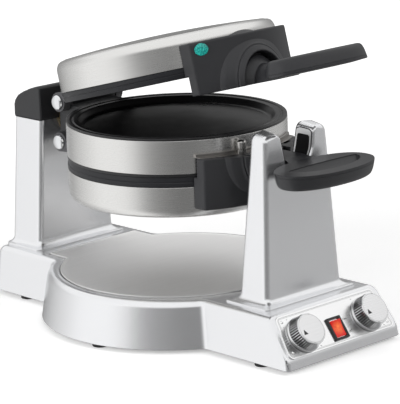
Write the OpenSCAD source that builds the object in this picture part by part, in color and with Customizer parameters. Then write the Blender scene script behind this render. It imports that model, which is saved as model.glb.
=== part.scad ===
// Rotating double waffle maker: a drum of two cooking chambers, one over the
// other, turns about a level axis between a forked front tower and a rear tower.
// X is the width, Y runs from the control panel (-Y) to the rear, Z is up.
// The origin is on the table, at the middle of the outline.

/* [Base] */
// Length of the base, front lip to rear
base_len = 430; // [426:1:440]
// Height of the flat top of the base above the table
base_top = 50; // [47:0.5:54]
// Height of the rubber feet
foot_h = 4; // [3:0.5:5]
// Width of the front foot of the base at the table
front_w = 155; // [150:1:164]
// Width of the rear foot of the base at the table
rear_w = 151; // [146:1:160]
// Radius of the round middle of the base at the table
round_r = 139; // [137:1:146]
// Wall of the plastic housings
wall = 2.5; // [2:0.25:3]
// Thickness of the steel drip tray
tray_t = 1.6; // [1:0.2:2]
// Radius of the round part of the drip tray
tray_r = 118.5; // [112:0.5:122]

/* [Control panel] */
// Height of the front lip below the sloping panel
lip_h = 12.5; // [11:0.5:15]
// Level run of the sloping panel
panel_run = 28.5; // [26:0.5:31]
// Distance of each thermostat knob from the middle
knob_x = 43.5; // [41:0.5:48]
// Radius of the foot of a knob
knob_r = 18; // [15:0.5:19]
// Height of a knob
knob_h = 14; // [11:0.5:15]
// Width of the switch frame
switch_w = 18.5; // [17:0.5:22]
// Length of the switch frame up the panel
switch_l = 23; // [22:0.5:24]

/* [Towers] */
// Width of the front tower at its foot
tower_w0 = 102; // [96:1:110]
// Width of the front tower at its top
tower_w1 = 84; // [80:1:90]
// Height of the top of the front tower above the table
tower_top = 213; // [208:1:218]
// Radius of the slot in the front tower
slot_r = 16; // [15.5:0.25:17.5]
// Angle by which each wall of the slot leans outwards
slot_lean = 8; // [0:1:9]
// Width of the rear tower at its foot
rear_w0 = 101; // [96:1:108]
// Width of the rear tower at its cap
rear_w1 = 87; // [82:1:92]

/* [Drum] */
// Height of the turning axis above the table
axis_z = 185; // [183:0.5:187]
// Radius of the drum
drum_r = 109; // [107:0.5:110]
// Height of the steel band between the two chambers
band_h = 37.4; // [36:0.2:39]
// Height of each cooking plate's black rim, which lies over the edge of the band
rim_h = 2.5; // [2:0.1:3]
// Height of the black ring on each lid
ring_h = 10; // [8:0.5:11]
// Height of the side wall of each steel lid
lid_h = 30; // [27:0.5:32]
// Rise of the domed face of each lid
dome_h = 6; // [4:0.5:7]
// Rounding between the wall and the face of each lid
lid_round = 6; // [4:0.5:8]
// Angle by which the upper lid stands open
lid_open = 14.6; // [0:0.1:60]

/* [Handles] */
// Half of the width of each handle
grip_a = 58; // [54:0.5:61]
// Half of the depth of each handle, front to back
grip_b = 30.5; // [28:0.5:31]
// Thickness of each handle
grip_t = 15.5; // [14:0.5:17]
// Height of the upper handle's inner face over the parting plane, shut
upper_rise = 2.7; // [1:0.1:4]
// Depth of the lower handle's inner face under the parting plane
lower_rise = 1.7; // [0.5:0.1:2.5]
// Half of the depth of the finger recess in each handle, front to back
recess_b = 12; // [9:0.5:12.5]
// Radius of the half-round necks, which turn in the front tower as one journal
neck_r = 13.8; // [12.5:0.1:13.9]
// Half of the width of each handle block
block_w = 64; // [60:1:68]
// Depth of each handle block in front of the drum
block_d = 13; // [12:0.5:15]
// Height of each handle block
block_h = 49.6; // [46:0.2:50]

/* [Hinges] */
// Distance of the hinge pins behind the drum's centre
pin_back = 133; // [131:1:134]
// Height of each hinge pin above or below the turning axis
pin_up = 20.5; // [19.5:0.5:21.5]
// Radius of the hinge pins
pin_r = 3.5; // [3:0.25:4]
// Radius of the hinge eyes
eye_r = 10; // [9:0.5:10.5]

/* [Hidden] */

$fn = 96;
// the base stands this far behind the middle of the whole outline, because the
// handles reach past its front lip
base_shift = 4;
base_front = base_shift - base_len / 2;
base_back = base_shift + base_len / 2;
base_draft = 4;
round_y = 15;
round_draft = 8;
rear_corner = 9;
cover_t = 2;
cover_top = foot_h + cover_t;

// the sloping panel, from its lower edge at the lip to its upper edge
panel_y = base_front + 2;
panel_a = atan2(base_top - lip_h, panel_run);
panel_l = norm([base_top - lip_h, panel_run]);
plate_t = 1.2;
knob_s = panel_l * 0.435;
switch_s = panel_l * 0.345;
rocker_w = switch_w - 5.5;
rocker_l = switch_l - 5.6;
shaft_r = 3;

// front tower: front and back faces at the foot and at the top
fork_y0 = [-159.2, -121.5];
fork_y1 = [-152.5, -132.5];
liner_t = 1.7;
slot_flare = 8;
// rear tower
rear_y0 = [170, 214.5];
rear_y1 = [168, 210.5];
cap_z = axis_z - 1.5;
bush_r = 16;
rear_shaft_r = 12;

// drum
drum_y = 11;
half_band = band_h / 2;
steel_t = 2;
plate_r = drum_r - steel_t - 0.1;
frame_h = 6;
gap = 0.3;
ring_low = half_band + gap;
ring_top = ring_low + ring_h;
shell_top = ring_top + lid_h;
element_r = 3.5;
element_ring = 62;
shield_t = 1;

// handles and blocks
part_gap = 0.3;
grip_y = fork_y0[0] + 1.2 - grip_b;
block_r = drum_r + block_d;
block_top = part_gap + block_h;
relief_r = drum_r + 4;
collar_r = 32;
collar_y = drum_y - block_r - 5;
socket_r = 17;
socket_y = collar_y + 14;
recess_front = 6.5;
catch_r = 5;
catch_h = 14;
catch_y = drum_r + 5.5;
catch_a = 11.2;
lens_r = 7;
lens_u = 41;
lens_a = 26.3;
screw_x = 42;
screw_end = drum_y - sqrt(pow(drum_r - 1.5, 2) - pow(screw_x + 4, 2)) + 0.05;

// hinges
pin_y = drum_y + pin_back;
bracket_x = 29.6;
arm_x = bracket_x + 0.4;
arm_t = 10;
bracket_back = pin_y + 10.2;

feet_at = [[-65, 175], [65, 175], [-126, -6], [126, -6], [-67, -168], [67, -168]];
boss_at = [[-50, 192], [50, 192], [-112, 40], [112, 40], [-60, -150], [60, -150]];

// ---------- shapes that repeat ----------

function arc(cx, cy, r, a0, a1, n = 8) =
  [for (i = [0:n]) let (a = a0 + (a1 - a0) * i / n) [cx + r * cos(a), cy + r * sin(a)]];
function both_sides(p) = concat(p, [for (i = [len(p) - 1:-1:0]) [-p[i][0], p[i][1]]]);
function oval(a, b, e, n = 72) =
  [for (i = [0:n - 1]) let (t = 360 * i / n, c = cos(t), s = sin(t))
    [a * sign(c) * pow(abs(c), 2 / e), b * sign(s) * pow(abs(s), 2 / e)]];

// a profile drawn in X and Z, run along Y from y0 to y1
module along_y(y0, y1) { translate([0, y1, 0]) rotate([90, 0, 0]) linear_extrude(y1 - y0) children(); }
// a profile drawn in Y and Z, run along X from -w/2 to w/2
module along_x(w) { translate([-w / 2, 0, 0]) rotate([90, 0, 90]) linear_extrude(w) children(); }
// a shape turned about the drum's level axis: drawn as radius and distance in front
module about_axis() { translate([0, 0, axis_z]) rotate([90, 0, 0]) rotate_extrude() children(); }
// a shape turned about the drum's upright axis, at the height of the level axis
module about_drum() { translate([0, drum_y, axis_z]) rotate_extrude() children(); }
module drum_cut(r) { translate([0, drum_y, -1]) cylinder(h = 400, r = r, $fn = 128); }
module y_rod(r, y0, y1) { translate([0, y1, 0]) rotate([90, 0, 0]) cylinder(h = y1 - y0, r = r); }
module x_rod(r, w) { translate([-w / 2, 0, 0]) rotate([0, 90, 0]) cylinder(h = w, r = r); }
// things drawn on the sloping panel: x across, y up the slope, z out of it
module on_panel(x = 0, s = 0) {
  translate([0, panel_y, lip_h]) rotate([panel_a, 0, 0]) translate([x, s, 0]) children();
}
// the upper lid, drawn shut and swung open about its hinge pin
module swung() {
  translate([0, pin_y, axis_z + pin_up]) rotate([-lid_open, 0, 0])
    translate([0, -pin_y, -axis_z - pin_up]) children();
}
// the same piece on the lower side of the drum
module lower_side() { translate([0, 0, 2 * axis_z]) mirror([0, 0, 1]) children(); }

// ---------- base ----------

module slab(w, y0, y1, z, r = 4) {
  for (x = [-w / 2 + r, w / 2 - r], y = [y0 + r, y1 - r])
    translate([x, y, z]) cylinder(h = 0.01, r = r, $fn = 24);
}

// the outer form of the base, set in by t all round and closed below at z0
module base_form(t, z0) {
  ny = sin(panel_a) * t;
  nz = cos(panel_a) * t;
  s1 = (base_top - t - lip_h + nz) / sin(panel_a);
  translate([0, round_y, z0]) cylinder(h = base_top - t - z0,
    r1 = round_r - t, r2 = round_r - round_draft - t, $fn = 180);
  hull() {
    slab(front_w - 2 * t, panel_y + ny - (t > 0 ? 0 : 2), round_y, z0);
    slab(front_w - 2 * t - 1, panel_y + ny, round_y, lip_h - nz - 0.01, 1);
    slab(front_w - 2 * base_draft - 2 * t, panel_y + ny + s1 * cos(panel_a), round_y, base_top - t - 0.01, 1);
  }
  hull() {
    slab(rear_w - 2 * t, round_y, base_back - t, z0, rear_corner);
    slab(rear_w - 2 * base_draft - 2 * t, round_y, base_back - t - 3, base_top - t - 0.01, rear_corner);
  }
}

module base_housing() color("silver") difference() {
  union() {
    difference() {
      base_form(0, foot_h);
      base_form(wall, foot_h - 1);
    }
    for (p = boss_at) translate([p[0], p[1], cover_top]) cylinder(h = base_top - wall - cover_top + 0.1, r = 5);
  }
  for (p = boss_at) translate([p[0], p[1], 0]) cylinder(h = cover_top + 14, r = 1.6);
  for (x = [-knob_x, knob_x]) on_panel(x, knob_s) translate([0, 0, -8]) cylinder(h = 12, r = 5);
  on_panel(0, switch_s) translate([-rocker_w / 2 - 1.7, -rocker_l / 2 - 1.7, -8]) cube([rocker_w + 3.4, rocker_l + 3.4, 12]);
  // passage for the wires up into the rear tower
  translate([0, 192, base_top - 10]) cylinder(h = 20, r = 12);
  // flat seat and hole of the cord gland
  translate([20, base_back - 2, 15]) cube([22, 5, 22]);
  translate([31, 0, 26]) y_rod(7, base_back - 12, base_back + 1);
}

module bottom_cover() color("dimgray") difference() {
  t = wall + 0.3;
  translate([0, 0, foot_h]) union() {
    translate([0, round_y, 0]) cylinder(h = cover_t, r = round_r - t - 0.4);
    linear_extrude(cover_t) polygon(both_sides([[front_w / 2 - t - 4.4, base_front + 5], [front_w / 2 - t - 0.4, base_front + 9],
      [front_w / 2 - t - 0.4, round_y], [rear_w / 2 - t - 0.4, round_y],
      [rear_w / 2 - t - 0.4, base_back - t - rear_corner - 1], [rear_w / 2 - t - rear_corner - 0.4, base_back - t - 1]]));
  }
  for (p = boss_at) translate([p[0], p[1], 0]) {
    cylinder(h = 20, r = 1.8);
    cylinder(h = foot_h + 1, r = 3.4);
  }
  // cooling slots
  for (i = [-3:3]) translate([i * 12 - 1.5, 60, 0]) cube([3, 40, 20]);
}

module feet() color("#202020") for (p = feet_at) translate([p[0], p[1], 0]) cylinder(h = foot_h, r = 8);

module bottom_screws() color("gainsboro") for (p = boss_at) translate([p[0], p[1], foot_h]) {
  cylinder(h = 1, r = 3.2);
  cylinder(h = 12, r = 1.6);
}

module drip_tray() color("lightgray") difference() {
  translate([0, 0, base_top]) {
    translate([0, round_y, 0]) cylinder(h = tray_t, r = tray_r, $fn = 180);
    linear_extrude(tray_t) polygon([[-62, 60], [62, 60], [60, 113], [56.5, 146], [-56.5, 146], [-60, 113]]);
  }
  // the shallow dish that catches spills
  translate([0, round_y, base_top + tray_t - 0.8]) cylinder(h = 2, r = tray_r - 9, $fn = 180);
}

module control_panel() color("gainsboro") difference() {
  w0 = front_w / 2 - 6.5;
  w1 = w0 - 5;
  l = panel_l - 3;
  on_panel() linear_extrude(plate_t) polygon(both_sides(concat(
    arc(w0 - 4, 5.2, 4, -90, 0), arc(w1 - 4, l - 4, 4, 5, 90))));
  for (x = [-knob_x, knob_x]) on_panel(x, knob_s) translate([0, 0, -1]) cylinder(h = 4, r = 5);
  on_panel(0, switch_s) translate([-rocker_w / 2 - 1.7, -rocker_l / 2 - 1.7, -1]) cube([rocker_w + 3.4, rocker_l + 3.4, 4]);
}

module cord_gland() color("#202020") difference() {
  translate([31, 0, 26]) union() {
    y_rod(6.9, base_back - 9, base_back - 2);
    y_rod(9, base_back - 2, base_back);
  }
  translate([31, 0, 26]) y_rod(4, base_back - 12, base_back + 1);
}

module terminal_block() color("ivory") difference() {
  translate([-20, 166, cover_top]) cube([40, 16, 12]);
  for (x = [-12, 0, 12]) translate([x, 174, cover_top + 4]) cylinder(h = 20, r = 2.5);
}

// ---------- panel controls ----------

module thermostat(x) difference() {
  on_panel(x, knob_s) {
    translate([-12, -12, -wall - 14]) cube([24, 24, 14]);
    translate([0, 0, -wall - 0.1]) cylinder(h = wall + plate_t + 0.1, r = 4.9);
  }
  on_panel(x, knob_s) translate([0, 0, -10]) cylinder(h = 20, r = shaft_r + 0.1);
}
module thermostat_left() color("slategray") thermostat(-knob_x);
module thermostat_right() color("slategray") thermostat(knob_x);

module knob(x) on_panel(x, knob_s) difference() {
  translate([0, 0, plate_t + 0.5]) cylinder(h = knob_h, r1 = knob_r, r2 = knob_r - 2);
  translate([0, 0, -1]) cylinder(h = 11, r = shaft_r);
  translate([0, 0, plate_t + 0.4]) cylinder(h = 3, r = knob_r - 4);
  translate([0, 0, plate_t + knob_h - 0.3]) cylinder(h = 2, r = knob_r - 3.6);
}
module knob_cap(x) on_panel(x, knob_s) translate([0, 0, plate_t + knob_h - 0.3]) cylinder(h = 1.2, r = knob_r - 3.8);
module knob_shaft(x) on_panel(x, knob_s) translate([0, 0, -9.8]) cylinder(h = 19.8, r = shaft_r);
module knob_left() color("lightgray") knob(-knob_x);
module knob_right() color("lightgray") knob(knob_x);
module knob_cap_left() color("white") knob_cap(-knob_x);
module knob_cap_right() color("white") knob_cap(knob_x);
module knob_shaft_left() color("darkgray") knob_shaft(-knob_x);
module knob_shaft_right() color("darkgray") knob_shaft(knob_x);

module power_switch() color("#202020") on_panel(0, switch_s) difference() {
  union() {
    translate([-switch_w / 2, -switch_l / 2, plate_t]) cube([switch_w, switch_l, 2]);
    translate([-rocker_w / 2 - 1.5, -rocker_l / 2 - 1.5, -12]) cube([rocker_w + 3, rocker_l + 3, 12 + plate_t + 0.1]);
  }
  translate([-rocker_w / 2 - 0.3, -rocker_l / 2 - 0.6, -10.8]) cube([rocker_w + 0.6, rocker_l + 1.2, 20]);
  x_rod(1.3, rocker_w + 1.6);
}

module switch_rocker() color("red") on_panel(0, switch_s) rotate([7, 0, 0]) {
  l = rocker_l / 2 - 0.5;
  along_x(rocker_w) polygon([[-l, 3.8], [0, 3], [l, 3.8], [l, 1.4], [4, -3], [-4, -3], [-l, 1.4]]);
  x_rod(1.2, rocker_w + 1.4);
}

// ---------- towers ----------

// the hollow of a tower: widths w, and the y of its two faces, at the foot and at the top
module tapered_hollow(w0, w1, y0, y1, z0, z1) {
  intersection() {
    along_y(-230, 230) polygon(both_sides([[w0 / 2 - wall - 0.5, z0], [w1 / 2 - wall - 0.5, z1]]));
    along_x(200) polygon([[y0[0] + wall, z0], [y0[1] - wall, z0], [y1[1] - wall, z1], [y1[0] + wall, z1]]);
  }
}

// outline of the front tower as seen from the front
module fork_front() {
  polygon(both_sides(concat(
    arc(tower_w0 / 2 + 6, base_top + 6, 6, 270, 180, 6),
    arc(tower_w1 / 2 - 8, tower_top - 8, 8, 3, 90))));
}
// outline of the front tower as seen from the side
module fork_side() {
  polygon(concat(
    arc(fork_y0[1] + 6, base_top + 6, 6, 270, 180, 6),
    arc(fork_y1[1] - 4, tower_top - 4, 4, 4, 90),
    arc(fork_y1[0] + 4, tower_top - 4, 4, 90, 176),
    arc(fork_y0[0] - 6, base_top + 6, 6, 0, -90, 6)));
}
// the slot, set in by t, which opens out at the top of the prongs
module fork_slot(t = 0) {
  r = slot_r - t;
  flare = slot_flare + t;
  foot = (r - 0.15) * [cos(slot_lean), -sin(slot_lean)];
  flare_z = tower_top - slot_flare - axis_z;
  flare_x = foot[0] + (flare_z - foot[1]) * tan(slot_lean) + flare / cos(slot_lean);
  end_a = 98;
  end = [flare_x + flare * cos(end_a), flare_z + flare * sin(end_a)];
  circle(r = r);
  polygon(both_sides(concat([foot], arc(flare_x, flare_z, flare, 180 - slot_lean, end_a),
    [end + 4 * [sin(end_a), -cos(end_a)], [end[0] + 4, 60]])));
}
// the place of a pad: on a wall of the liner, at the height of the neck
module on_slot_wall(x) for (m = [0, 1]) mirror([m, 0, 0])
  translate([0, fork_y1[0] + 10, axis_z]) rotate([0, slot_lean, 0]) translate([slot_r - liner_t + x, 0, 9.5]) children();

module front_tower() color("silver") difference() {
  intersection() {
    along_y(-200, -80) fork_front();
    along_x(200) fork_side();
  }
  along_y(-200, -80) translate([0, axis_z]) fork_slot();
  // hollow foot
  tapered_hollow(tower_w0, tower_w0 - 18, fork_y0, [fork_y0[0] + 4.5, fork_y0[1] - 6], base_top - 1, axis_z - slot_r - 10);
}

// bearing liner in the slot
module fork_liner() color("lightgray") difference() {
  intersection() {
    along_y(fork_y0[0] + 5.6, fork_y0[1] - 9.2) difference() {
      translate([0, axis_z]) fork_slot();
      translate([0, axis_z]) fork_slot(liner_t);
      translate([-60, tower_top - 1.5]) square([120, 80]);
    }
    along_x(60) fork_side();
  }
  on_slot_wall(0) cube([1.2, 13, 17], center = true);
}

module fork_pads() color("#202020") on_slot_wall(0.3) cube([0.6, 13, 17], center = true);

module rear_front() { polygon([[-rear_w0 / 2, base_top + 4], [rear_w0 / 2, base_top + 4], [rear_w1 / 2, cap_z], [-rear_w1 / 2, cap_z]]); }
module rear_side(t = 0) {
  polygon([[rear_y0[0] + t, base_top + 3], [rear_y0[1] - t, base_top + 3], [rear_y1[1] - t, cap_z + t], [rear_y1[0] + t, cap_z + t]]);
}

module rear_tower() color("silver") difference() {
  union() {
    intersection() {
      along_y(120, 230) rear_front();
      along_x(200) rear_side();
    }
    // plinth that spreads onto the base
    intersection() {
      along_y(100, 240) polygon(both_sides([[rear_w0 / 2 + 10, base_top], [rear_w0 / 2 + 9, base_top + 1.4], [rear_w0 / 2 - 1, base_top + 4.5]]));
      along_x(200) polygon([[150, base_top], [base_back - 3.4, base_top], [base_back - 3.6, base_top + 1.4],
        [rear_y0[1] - 1, base_top + 4.5], [rear_y0[0] + 1, base_top + 4.5], [151, base_top + 1.4]]);
    }
  }
  tapered_hollow(rear_w0, rear_w1, rear_y0, rear_y1, base_top + 5, cap_z + 1);
  translate([0, 192, base_top - 1]) cylinder(h = 10, r = 12);
  translate([0, 0, axis_z]) y_rod(bush_r, 150, 180);
}

module cap_side(t) {
  polygon([[rear_y1[0] + t, cap_z - (t > 0 ? 1 : 0)], [rear_y1[1] + 0.2 - t, cap_z - (t > 0 ? 1 : 0)],
    [rear_y1[1] - t, cap_z + 13], [rear_y1[1] - 2 - t, cap_z + 18 - t / 2], [rear_y1[1] - 6.5 - t * 0.8, cap_z + 23 - t * 0.7],
    [rear_y1[1] - 15, cap_z + 27.5 - t], [rear_y1[1] - 25, cap_z + 31.5 - t], [rear_y1[1] - 34, cap_z + 34.4 - t],
    [rear_y1[0] + 3 + t * 0.5, cap_z + 35.5 - t], [rear_y1[0] + t, cap_z + 34 - t]]);
}
module rear_tower_cap() color("#282828") difference() {
  along_x(rear_w1) cap_side(0);
  along_x(rear_w1 - 2 * wall) cap_side(wall);
  translate([0, 0, axis_z]) y_rod(bush_r, 150, 180);
}

module rear_bearing_bush() color("goldenrod") difference() {
  translate([0, 0, axis_z]) {
    y_rod(bush_r, rear_y1[0] - 0.5, rear_y1[0] + 7);
    y_rod(bush_r + 3, rear_y1[0] - 3.5, rear_y1[0] - 0.5);
  }
  translate([0, 0, axis_z]) y_rod(rear_shaft_r + 0.1, 150, 190);
}

// ---------- drum: the part between the two chambers ----------

module centre_band() color("gainsboro") about_drum()
  translate([drum_r - steel_t, rim_h - half_band]) square([steel_t, band_h - 2 * rim_h]);

module centre_frame() color("dimgray") about_drum()
  polygon([[96, -frame_h], [plate_r, -frame_h], [plate_r, frame_h], [96, frame_h], [96, shield_t / 2], [92, shield_t / 2], [92, -shield_t / 2], [96, -shield_t / 2]]);

// a cooking plate of the middle part: its rim lies over the edge of the band
module centre_plate_side(depth) {
  back = shield_t / 2 + 2 * element_r;
  polygon([[0, back], [94, back], [98, frame_h], [plate_r, frame_h], [plate_r, half_band - rim_h],
    [drum_r - 0.2, half_band - rim_h], [drum_r - 0.2, half_band], [102, half_band], [101, half_band - 0.5], [97, half_band - 0.5], [93.5, half_band - depth], [0, half_band - depth]]);
}
module omelet_plate_lower() color("#303030") about_drum() centre_plate_side(7.5);

module waffle_plate_upper() color("#303030") lower_side() union() {
  about_drum() centre_plate_side(7.5);
  waffle_studs(half_band - 7.6, 5.6);
}

// the studs that press the pockets into a waffle
module waffle_studs(u, h) translate([0, drum_y, axis_z + u]) difference() {
  cylinder(h = h, r = 88);
  for (i = [-6:6]) {
    translate([i * 14 - 2.5, -95, 0.1]) cube([5, 190, 20]);
    translate([-95, i * 14 - 2.5, 0.1]) cube([190, 5, 20]);
  }
}

module element(u) union() {
  translate([0, drum_y, axis_z + u]) rotate_extrude() translate([element_ring, 0]) circle(r = element_r, $fn = 32);
  for (x = [-9, 9]) translate([x, 0, axis_z + u]) y_rod(2.5, drum_y + element_ring - 2, drum_y + 88);
}
module centre_element_upper() color("brown") element(shield_t / 2 + element_r);
module centre_element_lower() color("brown") element(-shield_t / 2 - element_r);
module heat_shield() color("lightgray") translate([0, drum_y, axis_z - shield_t / 2]) difference() {
  cylinder(h = shield_t, r = 92);
  translate([0, 0, -1]) cylinder(h = 5, r = 12);
}

// ---------- drum: shaft and hinges ----------

module hinge_bracket() color("#282828") difference() {
  union() {
    translate([-bracket_x, drum_y + drum_r - 12, axis_z - half_band + 1.5]) cube([2 * bracket_x, bracket_back - drum_y - drum_r + 12, band_h - 3]);
    for (u = [-pin_up, pin_up]) translate([0, pin_y, axis_z + u]) x_rod(eye_r, 2 * bracket_x);
  }
  drum_cut(drum_r);
  for (u = [-pin_up, pin_up]) translate([0, pin_y, axis_z + u]) x_rod(pin_r, 3 * bracket_x);
  translate([0, 0, axis_z]) y_rod(8, 100, 200);
}

module hinge_pin(u) translate([0, pin_y, axis_z + u]) {
  x_rod(pin_r, 2 * (arm_x + arm_t + 1));
  // domed caps on both ends
  for (m = [0, 1]) mirror([m, 0, 0]) translate([arm_x + arm_t + gap, 0, 0]) rotate([0, 90, 0]) intersection() {
    cylinder(h = 4, r = 8);
    translate([0, 0, -8]) sphere(r = 12);
  }
}
module upper_hinge_pin() color("white") hinge_pin(pin_up);
module lower_hinge_pin() color("white") hinge_pin(-pin_up);

module rear_shaft() color("darkgray") translate([0, 0, axis_z]) difference() {
  union() {
    y_rod(rear_shaft_r, bracket_back, rear_y1[1] - 15);
    y_rod(17, bracket_back, bracket_back + 5);
  }
  y_rod(8, bracket_back - 1, 230);
}
module shaft_collar() color("gray") translate([0, 0, axis_z]) difference() {
  y_rod(18, rear_y1[0] + 7.4, rear_y1[0] + 13);
  y_rod(rear_shaft_r, 150, 200);
}

// chromed stud that holds the lower lid shut against the band
module chamber_catch() color("white") difference() {
  rotate_about_drum(-catch_a) translate([0, -catch_y, axis_z - part_gap]) union() {
    intersection() {
      cylinder(h = catch_h, r = catch_r);
      translate([0, 0, catch_h - 10]) sphere(r = 10);
    }
    // its foot, which reaches back to the band
    translate([-3, 0, 5]) cube([6, 8, 6]);
  }
  drum_cut(drum_r);
}
module rotate_about_drum(a) { translate([0, drum_y, 0]) rotate([0, 0, a]) children(); }

// chromed strip on top of the lower block
module block_trim() color("white") intersection() {
  about_drum() polygon([[drum_r + 0.2, -part_gap], [drum_r + 8, -part_gap], [drum_r + 8, 0.2], [drum_r + 3, 0.2], [drum_r + 3, 3], [drum_r + 0.2, 3]]);
  translate([-block_w + 1, -150, axis_z - 5]) cube([2 * block_w - 2, 100, 20]);
  difference() {
    translate([-100, -150, axis_z - 5]) cube([200, 100, 20]);
    translate([-17.5, -150, axis_z - 6]) cube([35, 40.4, 30]);
    rotate_about_drum(-catch_a) translate([0, -catch_y, 0]) cylinder(h = 400, r = catch_r);
  }
}

// ---------- lids: each is drawn as the upper one, shut ----------

module lid_shell() difference() {
  about_drum() {
    r = lid_round;
    outer = concat([[drum_r - 1.5, ring_top], [drum_r, ring_top]], arc(drum_r - r, shell_top - r, r, 0, 78, 8),
      [for (i = [1:8]) let (k = 1 - i / 8) [(drum_r - r + r * cos(78)) * k, shell_top + dome_h * (1 - k * k) - (r - r * sin(78)) * k]]);
    inner = concat([for (i = [8:-1:1]) let (k = 1 - i / 8) [(drum_r - r + r * cos(78)) * k, shell_top - 1.5 + dome_h * (1 - k * k) - (r - r * sin(78)) * k]],
      arc(drum_r - r, shell_top - r, r - 1.5, 78, 0, 8));
    polygon(concat(outer, inner));
  }
  // hole for the wires at the rear, and the holes of the screws that hold the handle block
  translate([0, 0, axis_z + ring_top + 8]) y_rod(4, drum_y + drum_r - 12, drum_y + drum_r + 5);
  for (x = [-screw_x, screw_x]) translate([x, 0, axis_z + ring_top + 7]) y_rod(2, -120, -60);
}

module lid_ring() about_drum() polygon([[101, ring_low], [drum_r, ring_low], [drum_r, ring_top], [101, ring_top]]);

module lid_plate_side() {
  polygon([[0, ring_low + 6], [91, ring_low + 6], [95, ring_low - 0.1], [98.5, ring_low - 0.1], [100.6, ring_low + 2],
    [100.6, ring_top], [drum_r - 2.2, ring_top], [drum_r - 2.2, ring_top + 2], [0, ring_top + 2]]);
}

module lid_element() element(ring_top + 2 + element_r);

module handle_block() difference() {
  intersection() {
    union() {
      translate([0, drum_y, axis_z + part_gap]) cylinder(h = block_h, r = block_r, $fn = 180);
      // half collar round the neck, flared onto the face of the block
      about_axis() polygon(concat([[0, -drum_y + drum_r - 8]], [[collar_r + 8, -drum_y + drum_r - 8]],
        [[collar_r + 8, -drum_y + drum_r + 5]], arc(collar_r + 8, -collar_y - 1, 8, 270 - 27, 180, 6), [[collar_r, -collar_y], [0, -collar_y]]));
    }
    translate([-block_w, -150, axis_z + part_gap]) cube([2 * block_w, 100, block_h]);
  }
  drum_cut(drum_r);
  // the block stands clear of the steel band
  translate([0, drum_y, axis_z - 1]) cylinder(h = 1 + ring_low, r = relief_r);
  // groove between the collar's two rings, and the socket of the neck
  translate([0, 0, axis_z]) difference() {
    y_rod(26.5, collar_y - 1, collar_y + 8);
    y_rod(24.3, collar_y + 1.5, collar_y + 9);
  }
  translate([0, 0, axis_z]) y_rod(socket_r, collar_y - 1, socket_y);
  // screw holes into the block from inside the lid
  for (x = [-screw_x, screw_x]) translate([x, 0, axis_z + ring_top + 7]) y_rod(2, drum_y - block_r + 14, drum_y);
}

module handle_screws() for (x = [-screw_x, screw_x]) translate([x, 0, axis_z + ring_top + 7]) {
  y_rod(2, drum_y - block_r + 14, screw_end);
  y_rod(4, screw_end, screw_end + 2);
}

module handle(rise) difference() {
  union() {
    intersection() {
      translate([0, 0, axis_z]) y_rod(neck_r, grip_y + 10, socket_y);
      translate([-50, grip_y, axis_z + part_gap]) cube([100, 200, 40]);
    }
    translate([0, grip_y, axis_z + part_gap + rise]) linear_extrude(grip_t) polygon(oval(grip_a, grip_b, 2.2));
  }
  // long finger recess in the face towards the other handle
  translate([0, grip_y - recess_front, axis_z + rise - 1]) linear_extrude(grip_t - 4 + 1 + part_gap) polygon(oval(grip_a - 13, recess_b, 2, 48));
}

module hinge_arms() for (m = [0, 1]) mirror([m, 0, 0]) difference() {
  union() {
    translate([arm_x, pin_y, axis_z + pin_up]) rotate([0, 90, 0]) cylinder(h = arm_t, r = eye_r);
    translate([arm_x, drum_y + 80, axis_z + ring_low + 1]) cube([arm_t, pin_back - 80, 10]);
    translate([arm_x, drum_y + 80, axis_z + ring_low + 1]) cube([arm_t, 30, 20]);
  }
  drum_cut(drum_r);
  translate([arm_x - 1, pin_y, axis_z + pin_up]) rotate([0, 90, 0]) cylinder(h = arm_t + 2, r = pin_r + 0.15);
}

// ---------- lower lid: waffle chamber ----------

module lower_lid_shell() color("gainsboro") lower_side() lid_shell();
module lower_lid_ring() color("#282828") lower_side() lid_ring();
module waffle_plate_lower() color("#303030") lower_side() difference() {
  union() {
    about_drum() lid_plate_side();
    translate([0, 0, 2 * axis_z + 0]) mirror([0, 0, 1]) waffle_studs(-ring_low - 6.1, 5.4);
  }
}
module lower_lid_element() color("brown") lower_side() lid_element();
module lower_handle_block() color("#282828") lower_side() handle_block();
module lower_handle() color("#282828") lower_side() handle(lower_rise);
module lower_handle_screws() color("gray") lower_side() handle_screws();
module lower_lid_hinge_arms() color("#383838") lower_side() hinge_arms();

// ---------- upper lid: omelet chamber ----------

module upper_lid_shell() color("gainsboro") swung() lid_shell();
module upper_lid_ring() color("#282828") swung() lid_ring();
module omelet_plate_upper() color("#303030") swung() about_drum() lid_plate_side();
module upper_lid_element() color("brown") swung() lid_element();
module upper_handle_block() color("#282828") swung() difference() {
  handle_block();
  // room for the catch below it
  rotate_about_drum(-catch_a) translate([0, -catch_y, axis_z - 1]) cylinder(h = catch_h + 3, r = catch_r + 1.5);
  // seat of the ready light
  rotate_about_drum(-lens_a) translate([0, 0, axis_z + lens_u]) y_rod(lens_r, -block_r - 5, -block_r + 8);
}
module upper_handle() color("#282828") swung() handle(upper_rise);
module upper_handle_screws() color("gray") swung() handle_screws();
module upper_lid_hinge_arms() color("#383838") swung() hinge_arms();
module ready_light_lens() color("#2fb5a0") swung() rotate_about_drum(-lens_a)
  translate([0, 0, axis_z + lens_u]) {
    y_rod(lens_r, -block_r + 0.2, -block_r + 4);
    intersection() {
      y_rod(lens_r, -block_r - 4, -block_r + 0.3);
      translate([0, -block_r + 7.5, 0]) sphere(r = 10.2);
    }
  }
module ready_lamp() color("orange") swung() rotate_about_drum(-lens_a)
  translate([0, 0, axis_z + lens_u]) y_rod(3, -block_r + 4, -block_r + 8);

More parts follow.
